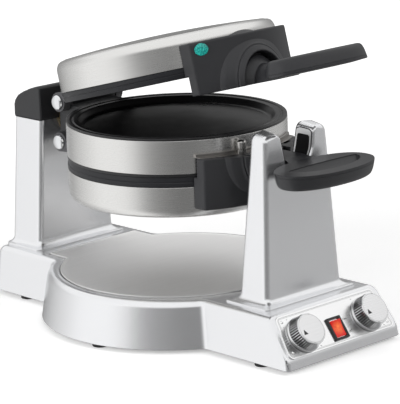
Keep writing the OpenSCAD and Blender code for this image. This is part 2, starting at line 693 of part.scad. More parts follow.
base_housing();
bottom_cover();
drip_tray();
control_panel();
front_tower();
fork_liner();
fork_pads();
rear_tower();
rear_tower_cap();
rear_bearing_bush();
thermostat_left();
thermostat_right();
power_switch();
feet();
bottom_screws();
cord_gland();
terminal_block();
centre_band();
centre_frame();
omelet_plate_lower();
waffle_plate_upper();
centre_element_upper();
centre_element_lower();
heat_shield();
rear_shaft();
shaft_collar();
hinge_bracket();
upper_hinge_pin();
lower_hinge_pin();
chamber_catch();
block_trim();
lower_lid_shell();
lower_lid_ring();
waffle_plate_lower();
lower_lid_element();
lower_handle_block();
lower_handle();
lower_lid_hinge_arms();
lower_handle_screws();
upper_lid_shell();
upper_lid_ring();
omelet_plate_upper();
upper_lid_element();
upper_handle_block();
upper_handle();
upper_lid_hinge_arms();
upper_handle_screws();
ready_light_lens();
ready_lamp();
knob_left();
knob_right();
knob_cap_left();
knob_cap_right();
knob_shaft_left();
knob_shaft_right();
switch_rocker();
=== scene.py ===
import math
import bmesh
import bpy
from mathutils import Matrix, Vector


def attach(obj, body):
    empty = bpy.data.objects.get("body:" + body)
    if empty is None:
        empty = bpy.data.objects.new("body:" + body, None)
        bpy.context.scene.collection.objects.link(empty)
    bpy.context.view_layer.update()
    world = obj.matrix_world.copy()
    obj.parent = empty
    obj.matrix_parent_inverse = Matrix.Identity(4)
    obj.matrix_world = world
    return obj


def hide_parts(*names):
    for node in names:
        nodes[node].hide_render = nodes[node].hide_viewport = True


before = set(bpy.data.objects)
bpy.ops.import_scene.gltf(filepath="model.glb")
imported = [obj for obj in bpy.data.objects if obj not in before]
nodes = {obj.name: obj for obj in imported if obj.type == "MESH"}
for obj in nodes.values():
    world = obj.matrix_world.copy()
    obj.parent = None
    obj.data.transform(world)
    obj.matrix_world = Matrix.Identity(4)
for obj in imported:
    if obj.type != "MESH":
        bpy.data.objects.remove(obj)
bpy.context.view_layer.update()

# sizes shared by several pieces, in millimetres as in the drawing
drum = {
    "axis": 185.0, "y": 11.0, "radius": 109.0, "halfBand": 18.7, "rim": 2.5,
    "ringLow": 19.0, "ringTop": 29.0, "lidTop": 59.0,
}
hinge = {"y": 144.0, "up": 20.5, "open": 14.6}
slopeRise, slopeRun = 37.5, 28.5
panelSlope = {
    "y": -209.0, "z": 12.5,
    "angle": math.degrees(math.atan2(slopeRise, slopeRun)),
    "length": math.hypot(slopeRise, slopeRun),
}


def move(x, y, z):
    return Matrix.Translation((x, y, z))


def turn(degrees, axis="X"):
    return Matrix.Rotation(math.radians(degrees), 4, axis)


# where pieces are put: on the open lid, in the lower chamber, on the drum's middle, at its axis, on the panel
pinPoint = Vector((0, hinge["y"], drum["axis"] + hinge["up"]))
asDrawn = Matrix.Identity(4)
lidOpen = move(*pinPoint) @ turn(-hinge["open"]) @ move(*-pinPoint)
lowerSide = move(0, 0, 2 * drum["axis"]) @ Matrix.Scale(-1, 4, (0, 0, 1))
onDrum = move(0, drum["y"], drum["axis"])
atAxis = move(0, 0, drum["axis"])
onPanel = move(0, panelSlope["y"], panelSlope["z"]) @ turn(panelSlope["angle"])


def clamped(share):
    return max(0.0, min(1.0, share))


def arcPoints(cx, cy, r, a0, a1, n):
    angles = [math.radians(a0 + (a1 - a0) * i / n) for i in range(n + 1)]
    return [(cx + r * math.cos(a), cy + r * math.sin(a)) for a in angles]


def bothSides(half):
    return half + [(-x, y) for x, y in reversed(half)]


def closedLoop(bm, points):  # edges of one closed loop of points
    verts = [bm.verts.new(p) for p in points]
    return [bm.edges.new((verts[i - 1], verts[i])) for i in range(len(verts))]


def loft(bm, rings, startCap=True, endCap=True):  # loops joined one after another, closed at both ends
    loops = [closedLoop(bm, ring) for ring in rings]
    for first, second in zip(loops, loops[1:]):
        bmesh.ops.bridge_loops(bm, edges=first + second)
    if startCap:
        bmesh.ops.contextual_create(bm, geom=loops[0])
    if endCap:
        bmesh.ops.contextual_create(bm, geom=loops[-1])


def wholeMesh(bm):
    return bm.verts[:] + bm.edges[:] + bm.faces[:]


def turned(profile, steps=160, closed=True, angle=math.tau):  # radius and height, spun round the upright axis
    bm = bmesh.new()
    verts = [bm.verts.new((r, 0, z)) for r, z in profile]
    edges = [bm.edges.new(pair) for pair in zip(verts, verts[1:])]
    if closed:
        edges.append(bm.edges.new((verts[-1], verts[0])))
    full = angle == math.tau
    if not full:
        bmesh.ops.contextual_create(bm, geom=edges)
    made = bmesh.ops.spin(
        bm, geom=verts + edges, cent=(0, 0, 0), axis=(0, 0, 1), angle=angle, steps=steps,
        use_merge=full, use_duplicate=False)
    if not full:
        lastEdges = [e for e in made["geom_last"] if isinstance(e, bmesh.types.BMEdge)]
        bmesh.ops.contextual_create(bm, geom=lastEdges)
    bmesh.ops.remove_doubles(bm, verts=bm.verts, dist=0.0005)
    bmesh.ops.delete(bm, geom=[e for e in bm.edges if not e.link_faces], context="EDGES")
    return bm


def softCorner(before, here, after, r, n):  # a corner swung round in n steps, within half of each side
    here, before, after = Vector(here), Vector(before), Vector(after)
    a = here + (before - here).normalized() * min(r, (before - here).length * 0.49)
    b = here + (after - here).normalized() * min(r, (after - here).length * 0.49)
    parts = [k / n for k in range(n + 1)]
    return [tuple(a * (1 - t) ** 2 + here * 2 * t * (1 - t) + b * t ** 2) for t in parts]


def roundedProfile(points, n=4):  # (radius, height, rounding) corners made into a smooth closed outline
    out = []
    for i, (x, y, r) in enumerate(points):
        before, after = points[i - 1][:2], points[(i + 1) % len(points)][:2]
        out += softCorner(before, (x, y), after, r, n) if r > 0 else [(x, y)]
    return out


def smoothOpen(points, n=4):  # the same, with the first and last point kept
    out = [points[0][:2]]
    for before, (x, y, r), after in zip(points, points[1:], points[2:]):
        out += softCorner(before[:2], (x, y), after[:2], r, n) if r > 0 else [(x, y)]
    return out + [points[-1][:2]]


def bevelEdges(bm, edges, width, segments=3):
    bmesh.ops.bevel(
        bm, geom=edges, offset=width, offset_type="OFFSET", segments=segments, profile=0.5,
        affect="EDGES", clamp_overlap=False, material=-1, loop_slide=True)


def sharpEdges(bm, angle=28, keep=None):  # keep is asked about each edge's middle
    sharp = [e for e in bm.edges if len(e.link_faces) == 2 and e.calc_face_angle(0) > math.radians(angle)]
    return [e for e in sharp if keep is None or keep((e.verts[0].co + e.verts[1].co) / 2)]


def fromNode(node):  # a merged copy of a drawn solid, in millimetres
    bm = bmesh.new()
    bm.from_mesh(nodes[node].data)
    bm.transform(Matrix.Scale(1000, 4))
    bmesh.ops.remove_doubles(bm, verts=bm.verts, dist=0.003)
    bmesh.ops.dissolve_limit(
        bm, angle_limit=math.radians(0.6), use_dissolve_boundaries=False,
        verts=bm.verts, edges=bm.edges, delimit={"NORMAL"})
    return bm


def addCopy(bm, other, place):  # puts one mesh into another at a place
    other.transform(place)
    if place.determinant() < 0:
        bmesh.ops.reverse_faces(other, faces=other.faces)
    held = bpy.data.meshes.new("held")
    other.to_mesh(held)
    other.free()
    bm.from_mesh(held)
    bpy.data.meshes.remove(held)


def cutAway(bm, cutter):  # what is left of a mesh when another is taken out of it
    holders = []
    for part in (bm, cutter):
        bmesh.ops.recalc_face_normals(part, faces=part.faces)
        mesh = bpy.data.meshes.new("cutWork")
        part.to_mesh(mesh)
        part.free()
        holders.append(bpy.data.objects.new("cutWork", mesh))
        bpy.context.scene.collection.objects.link(holders[-1])
    cut = holders[0].modifiers.new("cut", "BOOLEAN")
    cut.object = holders[1]
    cut.operation = "DIFFERENCE"
    cut.solver = "EXACT"
    bpy.context.view_layer.update()
    evaluated = holders[0].evaluated_get(bpy.context.evaluated_depsgraph_get())
    result = bpy.data.meshes.new_from_object(evaluated)
    out = bmesh.new()
    out.from_mesh(result)
    for holder in holders:
        mesh = holder.data
        bpy.data.objects.remove(holder)
        bpy.data.meshes.remove(mesh)
    bpy.data.meshes.remove(result)
    bmesh.ops.remove_doubles(out, verts=out.verts, dist=0.0005)
    return out


def finishPiece(bm, name, body, replaced, material, place=asDrawn,
                smooth=35, recalc=True, second=None):  # edges sharper than smooth, in degrees, stay sharp
    bm.transform(Matrix.Scale(0.001, 4) @ place)
    if recalc:
        bmesh.ops.recalc_face_normals(bm, faces=bm.faces)
    mesh = bpy.data.meshes.new(name)
    bm.to_mesh(mesh)
    bm.free()
    mesh.polygons.foreach_set("use_smooth", [True] * len(mesh.polygons))
    mesh.set_sharp_from_angle(angle=math.radians(smooth))
    mesh.materials.append(material)
    if second:
        mesh.materials.append(second)
    piece = bpy.data.objects.new(name, mesh)
    bpy.context.scene.collection.objects.link(piece)
    normals = piece.modifiers.new("evenShading", "WEIGHTED_NORMAL")
    normals.keep_sharp = True
    normals.weight = 80
    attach(piece, body)
    if replaced:
        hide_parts(*replaced)
    return piece


def newGroup(name, inputs, outputs):
    group = bpy.data.node_groups.new(name, "ShaderNodeTree")
    for label, kind, value in inputs:
        socket = group.interface.new_socket(name=label, in_out="INPUT", socket_type=kind)
        if value is not None:
            socket.default_value = value
    for label, kind in outputs:
        group.interface.new_socket(name=label, in_out="OUTPUT", socket_type=kind)
    return group, group.nodes.new("NodeGroupInput"), group.nodes.new("NodeGroupOutput")


def mathNode(tree, operation, a, b=None):
    node = tree.nodes.new("ShaderNodeMath")
    node.operation = operation
    for i, v in enumerate((a, b)):
        if v is None:
            continue
        if isinstance(v, (int, float)):
            node.inputs[i].default_value = v
        else:
            tree.links.new(v, node.inputs[i])
    return node.outputs[0]


def mixColors(tree, factor, a, b):
    node = tree.nodes.new("ShaderNodeMix")
    node.data_type = "RGBA"
    for socket, v in ((node.inputs[0], factor), (node.inputs[6], a), (node.inputs[7], b)):
        if isinstance(v, (int, float)):
            socket.default_value = v
        elif isinstance(v, (tuple, list)):
            socket.default_value = tuple(v) + (1,) * (4 - len(v))
        else:
            tree.links.new(v, socket)
    return node.outputs[2]


def spread(tree, value, low, high, toLow, toHigh):
    node = tree.nodes.new("ShaderNodeMapRange")
    tree.links.new(value, node.inputs[0])
    for i, v in enumerate((low, high, toLow, toHigh), 1):
        node.inputs[i].default_value = v
    return node.outputs[0]


def noise(tree, vector, scale, detail=3.0, rough=0.55):
    node = tree.nodes.new("ShaderNodeTexNoise")
    node.inputs["Scale"].default_value = scale
    node.inputs["Detail"].default_value = detail
    node.inputs["Roughness"].default_value = rough
    tree.links.new(vector, node.inputs["Vector"])
    return node.outputs[0]


def stretchedLines(group, inn, out, along, across, up, cloudScale):  # noise drawn out in one direction
    join = group.nodes.new("ShaderNodeCombineXYZ")
    for i, (value, scale) in enumerate(((along, "Along"), (across, "Across"), (up, "Across"))):
        group.links.new(mathNode(group, "MULTIPLY", value, inn.outputs[scale]), join.inputs[i])
    group.links.new(noise(group, join.outputs[0], 1.0, 2.0, 0.5), out.inputs["Line"])
    group.links.new(noise(group, inn.outputs["Vector"], cloudScale, 3.0, 0.5), out.inputs["Cloud"])


def makeRingGrain():  # fine lines running round an upright axis, as brushing on a spun drum
    group, inn, out = newGroup(
        "ringGrain",
        [("Vector", "NodeSocketVector", None), ("Axis Y", "NodeSocketFloat", drum["y"] * 0.001),
         ("Along", "NodeSocketFloat", 5.0), ("Across", "NodeSocketFloat", 3200.0)],
        [("Line", "NodeSocketFloat"), ("Cloud", "NodeSocketFloat")])
    split = group.nodes.new("ShaderNodeSeparateXYZ")
    group.links.new(inn.outputs["Vector"], split.inputs[0])
    back = mathNode(group, "SUBTRACT", split.outputs["Y"], inn.outputs["Axis Y"])
    aroundAxis = mathNode(group, "ARCTAN2", split.outputs["X"], back)
    squares = [mathNode(group, "MULTIPLY", v, v) for v in (split.outputs["X"], back)]
    reach = mathNode(group, "SQRT", mathNode(group, "ADD", *squares))
    stretchedLines(group, inn, out, aroundAxis, reach, split.outputs["Z"], 14.0)
    return group


def makeFineGrain():  # moulded texture and slow variation of plastic and paint
    group, inn, out = newGroup(
        "fineGrain",
        [("Vector", "NodeSocketVector", None), ("Fine", "NodeSocketFloat", 1800.0),
         ("Slow", "NodeSocketFloat", 14.0)],
        [("Grain", "NodeSocketFloat"), ("Smudge", "NodeSocketFloat"), ("Speck", "NodeSocketFloat")])
    fine = group.nodes.new("ShaderNodeTexNoise")
    fine.inputs["Detail"].default_value = 2.0
    group.links.new(inn.outputs["Vector"], fine.inputs["Vector"])
    group.links.new(inn.outputs["Fine"], fine.inputs["Scale"])
    slow = group.nodes.new("ShaderNodeTexNoise")
    slow.inputs["Detail"].default_value = 4.0
    slow.inputs["Distortion"].default_value = 0.4
    group.links.new(inn.outputs["Vector"], slow.inputs["Vector"])
    group.links.new(inn.outputs["Slow"], slow.inputs["Scale"])
    cell = group.nodes.new("ShaderNodeTexVoronoi")
    group.links.new(inn.outputs["Vector"], cell.inputs["Vector"])
    group.links.new(inn.outputs["Fine"], cell.inputs["Scale"])
    group.links.new(fine.outputs[0], out.inputs["Grain"])
    group.links.new(slow.outputs[0], out.inputs["Smudge"])
    group.links.new(cell.outputs["Distance"], out.inputs["Speck"])
    return group


def makeStraightGrain():  # brushing along one direction of a flat sheet
    group, inn, out = newGroup(
        "straightGrain",
        [("Vector", "NodeSocketVector", None), ("Along", "NodeSocketFloat", 12.0),
         ("Across", "NodeSocketFloat", 2600.0)],
        [("Line", "NodeSocketFloat"), ("Cloud", "NodeSocketFloat")])
    split = group.nodes.new("ShaderNodeSeparateXYZ")
    group.links.new(inn.outputs["Vector"], split.inputs[0])
    stretchedLines(group, inn, out, *split.outputs, 12.0)
    return group


ringGrain = makeRingGrain()
fineGrain = makeFineGrain()
straightGrain = makeStraightGrain()


def startMaterial(name, base, metallic, roughness, specular=0.5):
    mat = bpy.data.materials.new(name)
    mat.use_nodes = True
    mat.diffuse_color = tuple(base[:3]) + (1,)
    tree = mat.node_tree
    tree.nodes.clear()
    shader = tree.nodes.new("ShaderNodeBsdfPrincipled")
    output = tree.nodes.new("ShaderNodeOutputMaterial")
    tree.links.new(shader.outputs[0], output.inputs[0])
    shader.inputs["Base Color"].default_value = tuple(base[:3]) + (1,)
    shader.inputs["Metallic"].default_value = metallic
    shader.inputs["Roughness"].default_value = roughness
    shader.inputs["Specular IOR Level"].default_value = specular
    coords = tree.nodes.new("ShaderNodeTexCoord")
    return mat, tree, shader, coords.outputs["Object"]


def placeGroup(tree, group, vector, **values):
    node = tree.nodes.new("ShaderNodeGroup")
    node.node_tree = group
    tree.links.new(vector, node.inputs["Vector"])
    for label, v in values.items():
        node.inputs[label].default_value = v
    return node


def addBump(tree, shader, height, strength, distance):
    bump = tree.nodes.new("ShaderNodeBump")
    bump.inputs["Strength"].default_value = strength
    bump.inputs["Distance"].default_value = distance
    tree.links.new(height, bump.inputs["Height"])
    tree.links.new(bump.outputs[0], shader.inputs["Normal"])


def shades(base, darker, lighter):  # a colour made a little darker and a little lighter
    return [c * darker for c in base], [min(1, c * lighter) for c in base]


def linkSmudge(tree, grain, shader, low, high):  # roughness that varies slowly over the surface
    tree.links.new(spread(tree, grain.outputs["Smudge"], 0.3, 0.7, low, high), shader.inputs["Roughness"])


def brushed(tree, shader, grain, base, darker, roughness, strength, depth):  # the look of fine brushing
    line = grain.outputs["Line"]
    tone = mixColors(tree, spread(tree, line, 0.25, 0.75, 0, 1), *shades(base, darker, 1.03))
    tree.links.new(tone, shader.inputs["Base Color"])
    cloud = spread(tree, grain.outputs["Cloud"], 0.3, 0.7, roughness - 0.02, roughness + 0.03)
    streak = spread(tree, line, 0.3, 0.7, -0.02, 0.02)
    tree.links.new(mathNode(tree, "ADD", streak, cloud), shader.inputs["Roughness"])
    addBump(tree, shader, line, strength, depth)


def paintMaterial(name, base, metallic, roughness):  # satin metal-flake paint
    mat, tree, shader, where = startMaterial(name, base, metallic, roughness)
    grain = placeGroup(tree, fineGrain, where, Fine=2600.0)
    speck = spread(tree, grain.outputs["Speck"], 0.1, 0.7, 0, 1)
    tree.links.new(mixColors(tree, speck, *shades(base, 0.985, 1.015)), shader.inputs["Base Color"])
    return mat


def plasticMaterial(name, base, roughness, bump=0.18, fine=1500.0, specular=0.5):
    mat, tree, shader, where = startMaterial(name, base, 0.0, roughness, specular)
    grain = placeGroup(tree, fineGrain, where, Fine=fine, Slow=11.0)
    smudge = spread(tree, grain.outputs["Smudge"], 0.35, 0.7, 0, 1)
    tint = mixColors(tree, smudge, base, [c * 1.25 + 0.001 for c in base])
    tree.links.new(tint, shader.inputs["Base Color"])
    linkSmudge(tree, grain, shader, roughness - 0.04, roughness + 0.06)
    addBump(tree, shader, grain.outputs["Grain"], bump, 0.0003)
    return mat


def drumSteel(name, tilt=0.0):  # tilt turns the brushing with the open lid
    base, roughness = (0.8, 0.795, 0.78), 0.27
    mat, tree, shader, where = startMaterial(name, base, 1.0, roughness)
    if tilt:
        pinPlace = pinPoint * 0.001
        mapping = tree.nodes.new("ShaderNodeMapping")
        mapping.inputs["Rotation"].default_value = (math.radians(tilt), 0, 0)
        mapping.inputs["Location"].default_value = pinPlace - turn(tilt).to_3x3() @ pinPlace
        tree.links.new(where, mapping.inputs["Vector"])
        where = mapping.outputs[0]
    shader.inputs["Anisotropic"].default_value = 0.2
    brushed(tree, shader, placeGroup(tree, ringGrain, where), base, 0.965, roughness, 0.02, 0.0001)
    return mat


def sheetSteel(name, base, roughness, across):
    mat, tree, shader, where = startMaterial(name, base, 1.0, roughness)
    grain = placeGroup(tree, straightGrain, where, Across=across)
    brushed(tree, shader, grain, base, 0.96, roughness, 0.01, 0.00012)
    return mat


def chromeMaterial(name, base=(0.82, 0.83, 0.84), roughness=0.08):
    mat, tree, shader, where = startMaterial(name, base, 1.0, roughness)
    grain = placeGroup(tree, fineGrain, where, Fine=900.0, Slow=40.0)
    linkSmudge(tree, grain, shader, roughness, roughness + 0.05)
    smudge = spread(tree, grain.outputs["Smudge"], 0.3, 0.8, 0, 1)
    tree.links.new(mixColors(tree, smudge, base, [c * 0.94 for c in base]), shader.inputs["Base Color"])
    return mat


def coatingMaterial(name, base, roughness):  # dark non-stick coating, faintly speckled, with turning marks
    mat, tree, shader, where = startMaterial(name, base, 0.2, roughness, 0.6)
    grain = placeGroup(tree, fineGrain, where, Fine=1300.0, Slow=18.0)
    rings = placeGroup(tree, ringGrain, where, Along=2.0, Across=900.0)
    speck = spread(tree, grain.outputs["Speck"], 0.05, 0.3, 1, 0)
    tree.links.new(mixColors(tree, speck, base, [c * 2.4 + 0.01 for c in base]), shader.inputs["Base Color"])
    linkSmudge(tree, grain, shader, roughness - 0.05, roughness + 0.07)
    faint = mathNode(tree, "MULTIPLY", rings.outputs["Line"], 0.4)
    addBump(tree, shader, mathNode(tree, "ADD", faint, grain.outputs["Grain"]), 0.12, 0.0002)
    return mat


def plainMaterial(name, base, metallic, roughness):
    mat, tree, shader, where = startMaterial(name, base, metallic, roughness)
    grain = placeGroup(tree, fineGrain, where, Fine=1200.0, Slow=60.0)
    tone = mixColors(tree, grain.outputs["Smudge"], *shades(base, 0.85, 1.12))
    tree.links.new(tone, shader.inputs["Base Color"])
    linkSmudge(tree, grain, shader, max(0.03, roughness - 0.05), roughness + 0.06)
    addBump(tree, shader, grain.outputs["Grain"], 0.08, 0.0002)
    return mat


# middle of the lit spot, measured on the panel, and how far it shines
rockerGlow = {"along": 16.2, "up": 4.0, "reach": 7.8}


def rockerMaterial(s=rockerGlow):
    mat, tree, shader, where = startMaterial("litRedRocker", (0.5, 0.015, 0.01), 0.0, 0.16)
    shader.inputs["Transmission Weight"].default_value = 0.1
    shader.inputs["IOR"].default_value = 1.49
    mapping = tree.nodes.new("ShaderNodeMapping")
    mapping.vector_type = "TEXTURE"
    mapping.inputs["Location"].default_value = (onPanel @ Vector((0, s["along"], s["up"]))) * 0.001
    mapping.inputs["Scale"].default_value = (s["reach"] * 0.001,) * 3
    tree.links.new(where, mapping.inputs["Vector"])
    glow = tree.nodes.new("ShaderNodeTexGradient")
    glow.gradient_type = "SPHERICAL"
    tree.links.new(mapping.outputs[0], glow.inputs[0])
    sparkle = noise(tree, where, 420.0, 2.0)
    shine = spread(tree, glow.outputs[1], 0.05, 0.75, 0, 1)
    heat = mathNode(tree, "MULTIPLY", shine, spread(tree, sparkle, 0.35, 0.62, 0.35, 1))
    color = mixColors(tree, heat, (0.55, 0.012, 0.006), (1.0, 0.33, 0.07))
    tree.links.new(color, shader.inputs["Emission Color"])
    shader.inputs["Emission Strength"].default_value = 0.6
    return mat


def lensMaterial():
    mat, tree, shader, where = startMaterial("tealJewel", (0.01, 0.42, 0.36), 0.0, 0.1)
    shader.inputs["Transmission Weight"].default_value = 0.15
    shader.inputs["IOR"].default_value = 1.5
    cells = tree.nodes.new("ShaderNodeTexVoronoi")
    cells.inputs["Scale"].default_value = 560.0
    tree.links.new(where, cells.inputs["Vector"])
    for label, far, near, edge in (("Base Color", 0.8, (0.03, 0.5, 0.42), (0.0, 0.22, 0.2)),
                                   ("Emission Color", 0.7, (0.02, 0.42, 0.34), (0.0, 0.1, 0.1))):
        depth = spread(tree, cells.outputs["Distance"], 0.1, far, 0, 1)
        tree.links.new(mixColors(tree, depth, near, edge), shader.inputs[label])
    shader.inputs["Emission Strength"].default_value = 0.25
    addBump(tree, shader, cells.outputs["Distance"], 0.5, 0.0006)
    return mat


silverPaint = paintMaterial("silverPaint", (0.87, 0.875, 0.89), 0.9, 0.25)
linerGrey = paintMaterial("linerGrey", (0.55, 0.555, 0.56), 0.3, 0.35)
blackPlastic = plasticMaterial("blackPlastic", (0.016, 0.0165, 0.018), 0.42)
handleBlack = plasticMaterial(
    "handleBlack", (0.022, 0.0223, 0.0245), 0.4, bump=0.1, fine=1900.0, specular=0.42)
ringBlack = plasticMaterial("ringBlack", (0.012, 0.0125, 0.0145), 0.34, bump=0.06, specular=0.36)
padBlack = plasticMaterial("padBlack", (0.006, 0.006, 0.0065), 0.6, bump=0.5, fine=420.0, specular=0.12)
bandSteel = drumSteel("bandSteel")
lidSteel = drumSteel("lidSteelTilted", tilt=hinge["open"])
traySteel = sheetSteel("traySteel", (0.95, 0.945, 0.94), 0.52, across=1500.0)
panelSteel = sheetSteel("panelSteel", (0.97, 0.97, 0.975), 0.24, across=2600.0)
knobFaceSteel = sheetSteel("knobFaceSteel", (0.82, 0.82, 0.825), 0.26, across=3000.0)
chrome = chromeMaterial("chrome")
knobChrome = chromeMaterial("knobChrome", (0.8, 0.805, 0.81), 0.12)
# painted shade: near-black material for the knob's groove bottoms and one flank of each ridge
knobGrooveShade = plainMaterial("knobGrooveShade", (0.008, 0.008, 0.009), 0.0, 0.55)
nonStick = coatingMaterial("nonStick", (0.016, 0.016, 0.017), 0.3)
armGrey = paintMaterial("armGrey", (0.08, 0.08, 0.085), 0.35, 0.4)
# near-black finish of the centre frame; on the tray's and the liner's strips it is painted shade in the gaps
frameBlackAndGapShade = plainMaterial("frameBlackAndGapShade", (0.012, 0.012, 0.013), 0.0, 0.5)
trimSteel = chromeMaterial("trimSteel", (0.36, 0.345, 0.33), 0.3)
catchSteel = chromeMaterial("catchSteel", (0.5, 0.49, 0.475), 0.16)
rubberBlack = plasticMaterial("rubberBlack", (0.014, 0.014, 0.014), 0.7, bump=0.3, fine=900.0)
markInk = plainMaterial("markInk", (0.02, 0.02, 0.022), 0.0, 0.35)
# painted shade: darker grey for the panel's border lines
borderLineShade = plainMaterial("borderLineShade", (0.3, 0.305, 0.31), 0.4, 0.35)
screwSteel = plainMaterial("screwSteel", (0.5, 0.5, 0.51), 1.0, 0.3)
bearingBronze = plainMaterial("bearingBronze", (0.55, 0.42, 0.2), 1.0, 0.38)
heaterSheath = plainMaterial("heaterSheath", (0.23, 0.18, 0.15), 0.8, 0.45)
thermostatCase = plainMaterial("thermostatCase", (0.4, 0.42, 0.45), 0.9, 0.4)
terminalWhite = plainMaterial("terminalWhite", (0.8, 0.78, 0.7), 0.0, 0.4)
switchBlack = plasticMaterial("switchBlack", (0.012, 0.012, 0.013), 0.22, bump=0.05)
lampGlass = plainMaterial("lampGlass", (0.8, 0.45, 0.15), 0.0, 0.15)
rockerRed = rockerMaterial()
tealJewel = lensMaterial()

# finishes of the pieces that are shown as they were drawn
drawnFinishes = [
    (blackPlastic, ["bottom_cover"]),
    (terminalWhite, ["terminal_block"]),
    (thermostatCase, ["thermostat_left", "thermostat_right"]),
    (screwSteel, ["bottom_screws", "rear_shaft", "shaft_collar", "lower_handle_screws", "upper_handle_screws",
                  "knob_shaft_left", "knob_shaft_right"]),
    (bearingBronze, ["rear_bearing_bush"]),
    (frameBlackAndGapShade, ["centre_frame"]),
    (nonStick, ["waffle_plate_upper", "waffle_plate_lower"]),
    (heaterSheath, ["centre_element_upper", "centre_element_lower", "lower_lid_element", "upper_lid_element"]),
    (bandSteel, ["heat_shield"]),
    (lampGlass, ["ready_lamp"]),
]
for finish, names in drawnFinishes:
    for name in names:
        nodes[name].data.materials.clear()
        nodes[name].data.materials.append(finish)
print("materials made")


base = {
    "frontHalf": 77.5, "frontDraft": 4.0, "rearHalf": 75.5, "frontY": -211.0, "frontLean": 10.8,
    "rearY": 219.0, "rearLean": 3.0, "round": 139.0, "roundDraft": 8.0, "roundY": 15.0, "low": 4.0,
    "top": 50.0, "footEdge": 0.6, "topRounding": 7.0, "corner": 5.0, "rearCorner": 9.0, "valley": 9.0,
    "slopeEdge": 1.8, "wall": 2.4,
}


def hollow(side, roundR, roundY, valley, way):  # between a side and the round part: centre and angle
    x = side + valley
    y = roundY + way * math.sqrt((roundR + valley) ** 2 - x ** 2)
    return x, y, math.degrees(math.atan2(y - roundY, x))


def baseOutline(inset, z, s=base):  # front to rear: corner, hollow, round part, hollow, corner; then mirrored
    up = (z - s["low"]) / (s["top"] - s["low"])
    frontHalf = s["frontHalf"] - s["frontDraft"] * up - inset
    rearHalf = s["rearHalf"] - s["frontDraft"] * up - inset
    roundR = s["round"] - s["roundDraft"] * up - inset
    frontY = s["frontY"] + s["frontLean"] * up + inset
    rearY = s["rearY"] - s["rearLean"] * up - inset
    valley = s["valley"] + inset
    corner, rearCorner = (max(0.8, s[k] - inset) for k in ("corner", "rearCorner"))
    fx, fy, frontAngle = hollow(frontHalf, roundR, s["roundY"], valley, -1)
    rx, ry, rearAngle = hollow(rearHalf, roundR, s["roundY"], valley, 1)
    half = arcPoints(frontHalf - corner, frontY + corner, corner, -90, 0, 6)
    half += arcPoints(fx, fy, valley, 180, frontAngle + 180, 8)
    half += arcPoints(0, s["roundY"], roundR, frontAngle, rearAngle, 56)[1:-1]
    half += arcPoints(rx, ry, valley, rearAngle + 180, 180, 8)
    half += arcPoints(rearHalf - rearCorner, rearY - rearCorner, rearCorner, 0, 90, 8)
    return [(x, y, z) for x, y in bothSides(half)]


def buildBase(s=base):
    wallLow, wallTop = s["low"] + s["footEdge"], s["top"] - s["topRounding"]
    levels = [(s["footEdge"], s["low"])] + [(0, wallLow + (wallTop - wallLow) * k / 4) for k in range(5)]
    levels += arcPoints(s["topRounding"], wallTop, s["topRounding"], 180, 90, 7)[1:]
    bm = bmesh.new()
    loft(bm, [baseOutline(inset, z) for inset, z in levels], startCap=False)
    slope = math.radians(panelSlope["angle"])
    cut = bmesh.ops.bisect_plane(
        bm, geom=wholeMesh(bm), dist=0.0001, plane_co=(0, panelSlope["y"], panelSlope["z"]),
        plane_no=(0, -math.sin(slope), math.cos(slope)), clear_outer=True)
    rim = [e for e in cut["geom_cut"] if isinstance(e, bmesh.types.BMEdge)]
    bmesh.ops.contextual_create(bm, geom=rim)
    bmesh.ops.recalc_face_normals(bm, faces=bm.faces)
    steep = [e for e in rim if len(e.link_faces) == 2 and e.calc_face_angle(0) > math.radians(20)]
    bevelEdges(bm, steep, s["slopeEdge"])
    piece = finishPiece(bm, "baseShell", "base", ["base_housing"], silverPaint, smooth=32)
    wall = piece.modifiers.new("wallThickness", "SOLIDIFY")
    wall.thickness = s["wall"] * 0.001
    wall.offset = -1
    piece.modifiers.move(1, 0)


# edge, painted gap shade and rim: inset from the tray's outline, and height over the tray's or the housing's
# top
tray = {
    "round": 118.5, "roundY": 15.0, "tongueHalf": 58.5, "tongueY": 146.0, "tongueCorner": 2.0,
    "valley": 3.0, "split": 40, "high": 51.6,
    "edge": [(0, -1.58), (0, -0.45), (0.15, -0.12), (0.5, 0), (2.2, 0), (3.0, -0.25), (4.0, -0.8)],
    "gapShade": [(0, 0), (0, 0.12), (-1.0, 0.12), (-1.0, 0)],
    "rim": [(-1.0, -0.1), (-1.0, 0.2), (-1.2, 0.35), (-1.9, 0.35), (-3.2, 0.05), (-3.4, -0.1)],
}


def trayOutline(inset, z, s=tray):  # round part, finer from the split angle on, hollow, and the tongue's corner
    roundR = s["round"] - inset
    valley = s["valley"] + inset
    rx, ry, rearAngle = hollow(s["tongueHalf"] - inset, roundR, s["roundY"], valley, 1)
    half = arcPoints(0, s["roundY"], roundR, -90, s["split"], 60)[:-1]
    half += arcPoints(0, s["roundY"], roundR, s["split"], rearAngle, 12)[:-1]
    half += arcPoints(rx, ry, valley, rearAngle + 180, 180, 6)
    r = s["tongueCorner"]
    half += arcPoints(s["tongueHalf"] - inset - r, s["tongueY"] - inset - r, r, 0, 90, 4)
    return [(x, y, z) for x, y in bothSides(half)]


def trayPiece(name, replaced, levels, zero, solid, material, smooth):
    bm = bmesh.new()
    loft(bm, [trayOutline(inset, zero + up) for inset, up in levels], solid, solid)
    finishPiece(bm, name, "base", replaced, material, smooth=smooth)


def buildTray(s=tray):  # the tray, a near-black strip of painted shade for the gap round it, and the raised edge of the housing outside that gap
    trayPiece("dripTray", ["drip_tray"], s["edge"], s["high"], True, traySteel, 30)
    trayPiece("trayGapShade", [], s["gapShade"], base["top"], False, frameBlackAndGapShade, 30)
    trayPiece("trayRim", [], s["rim"], base["top"], False, silverPaint, 50)


buildBase()
buildTray()
print("base and tray made")


def softNode(node, name, body, material, width, segments=3, angle=28):  # as drawn, with soft edges
    bm = fromNode(node)
    bevelEdges(bm, sharpEdges(bm, angle), width, segments)
    finishPiece(bm, name, body, [node], material, recalc=False)


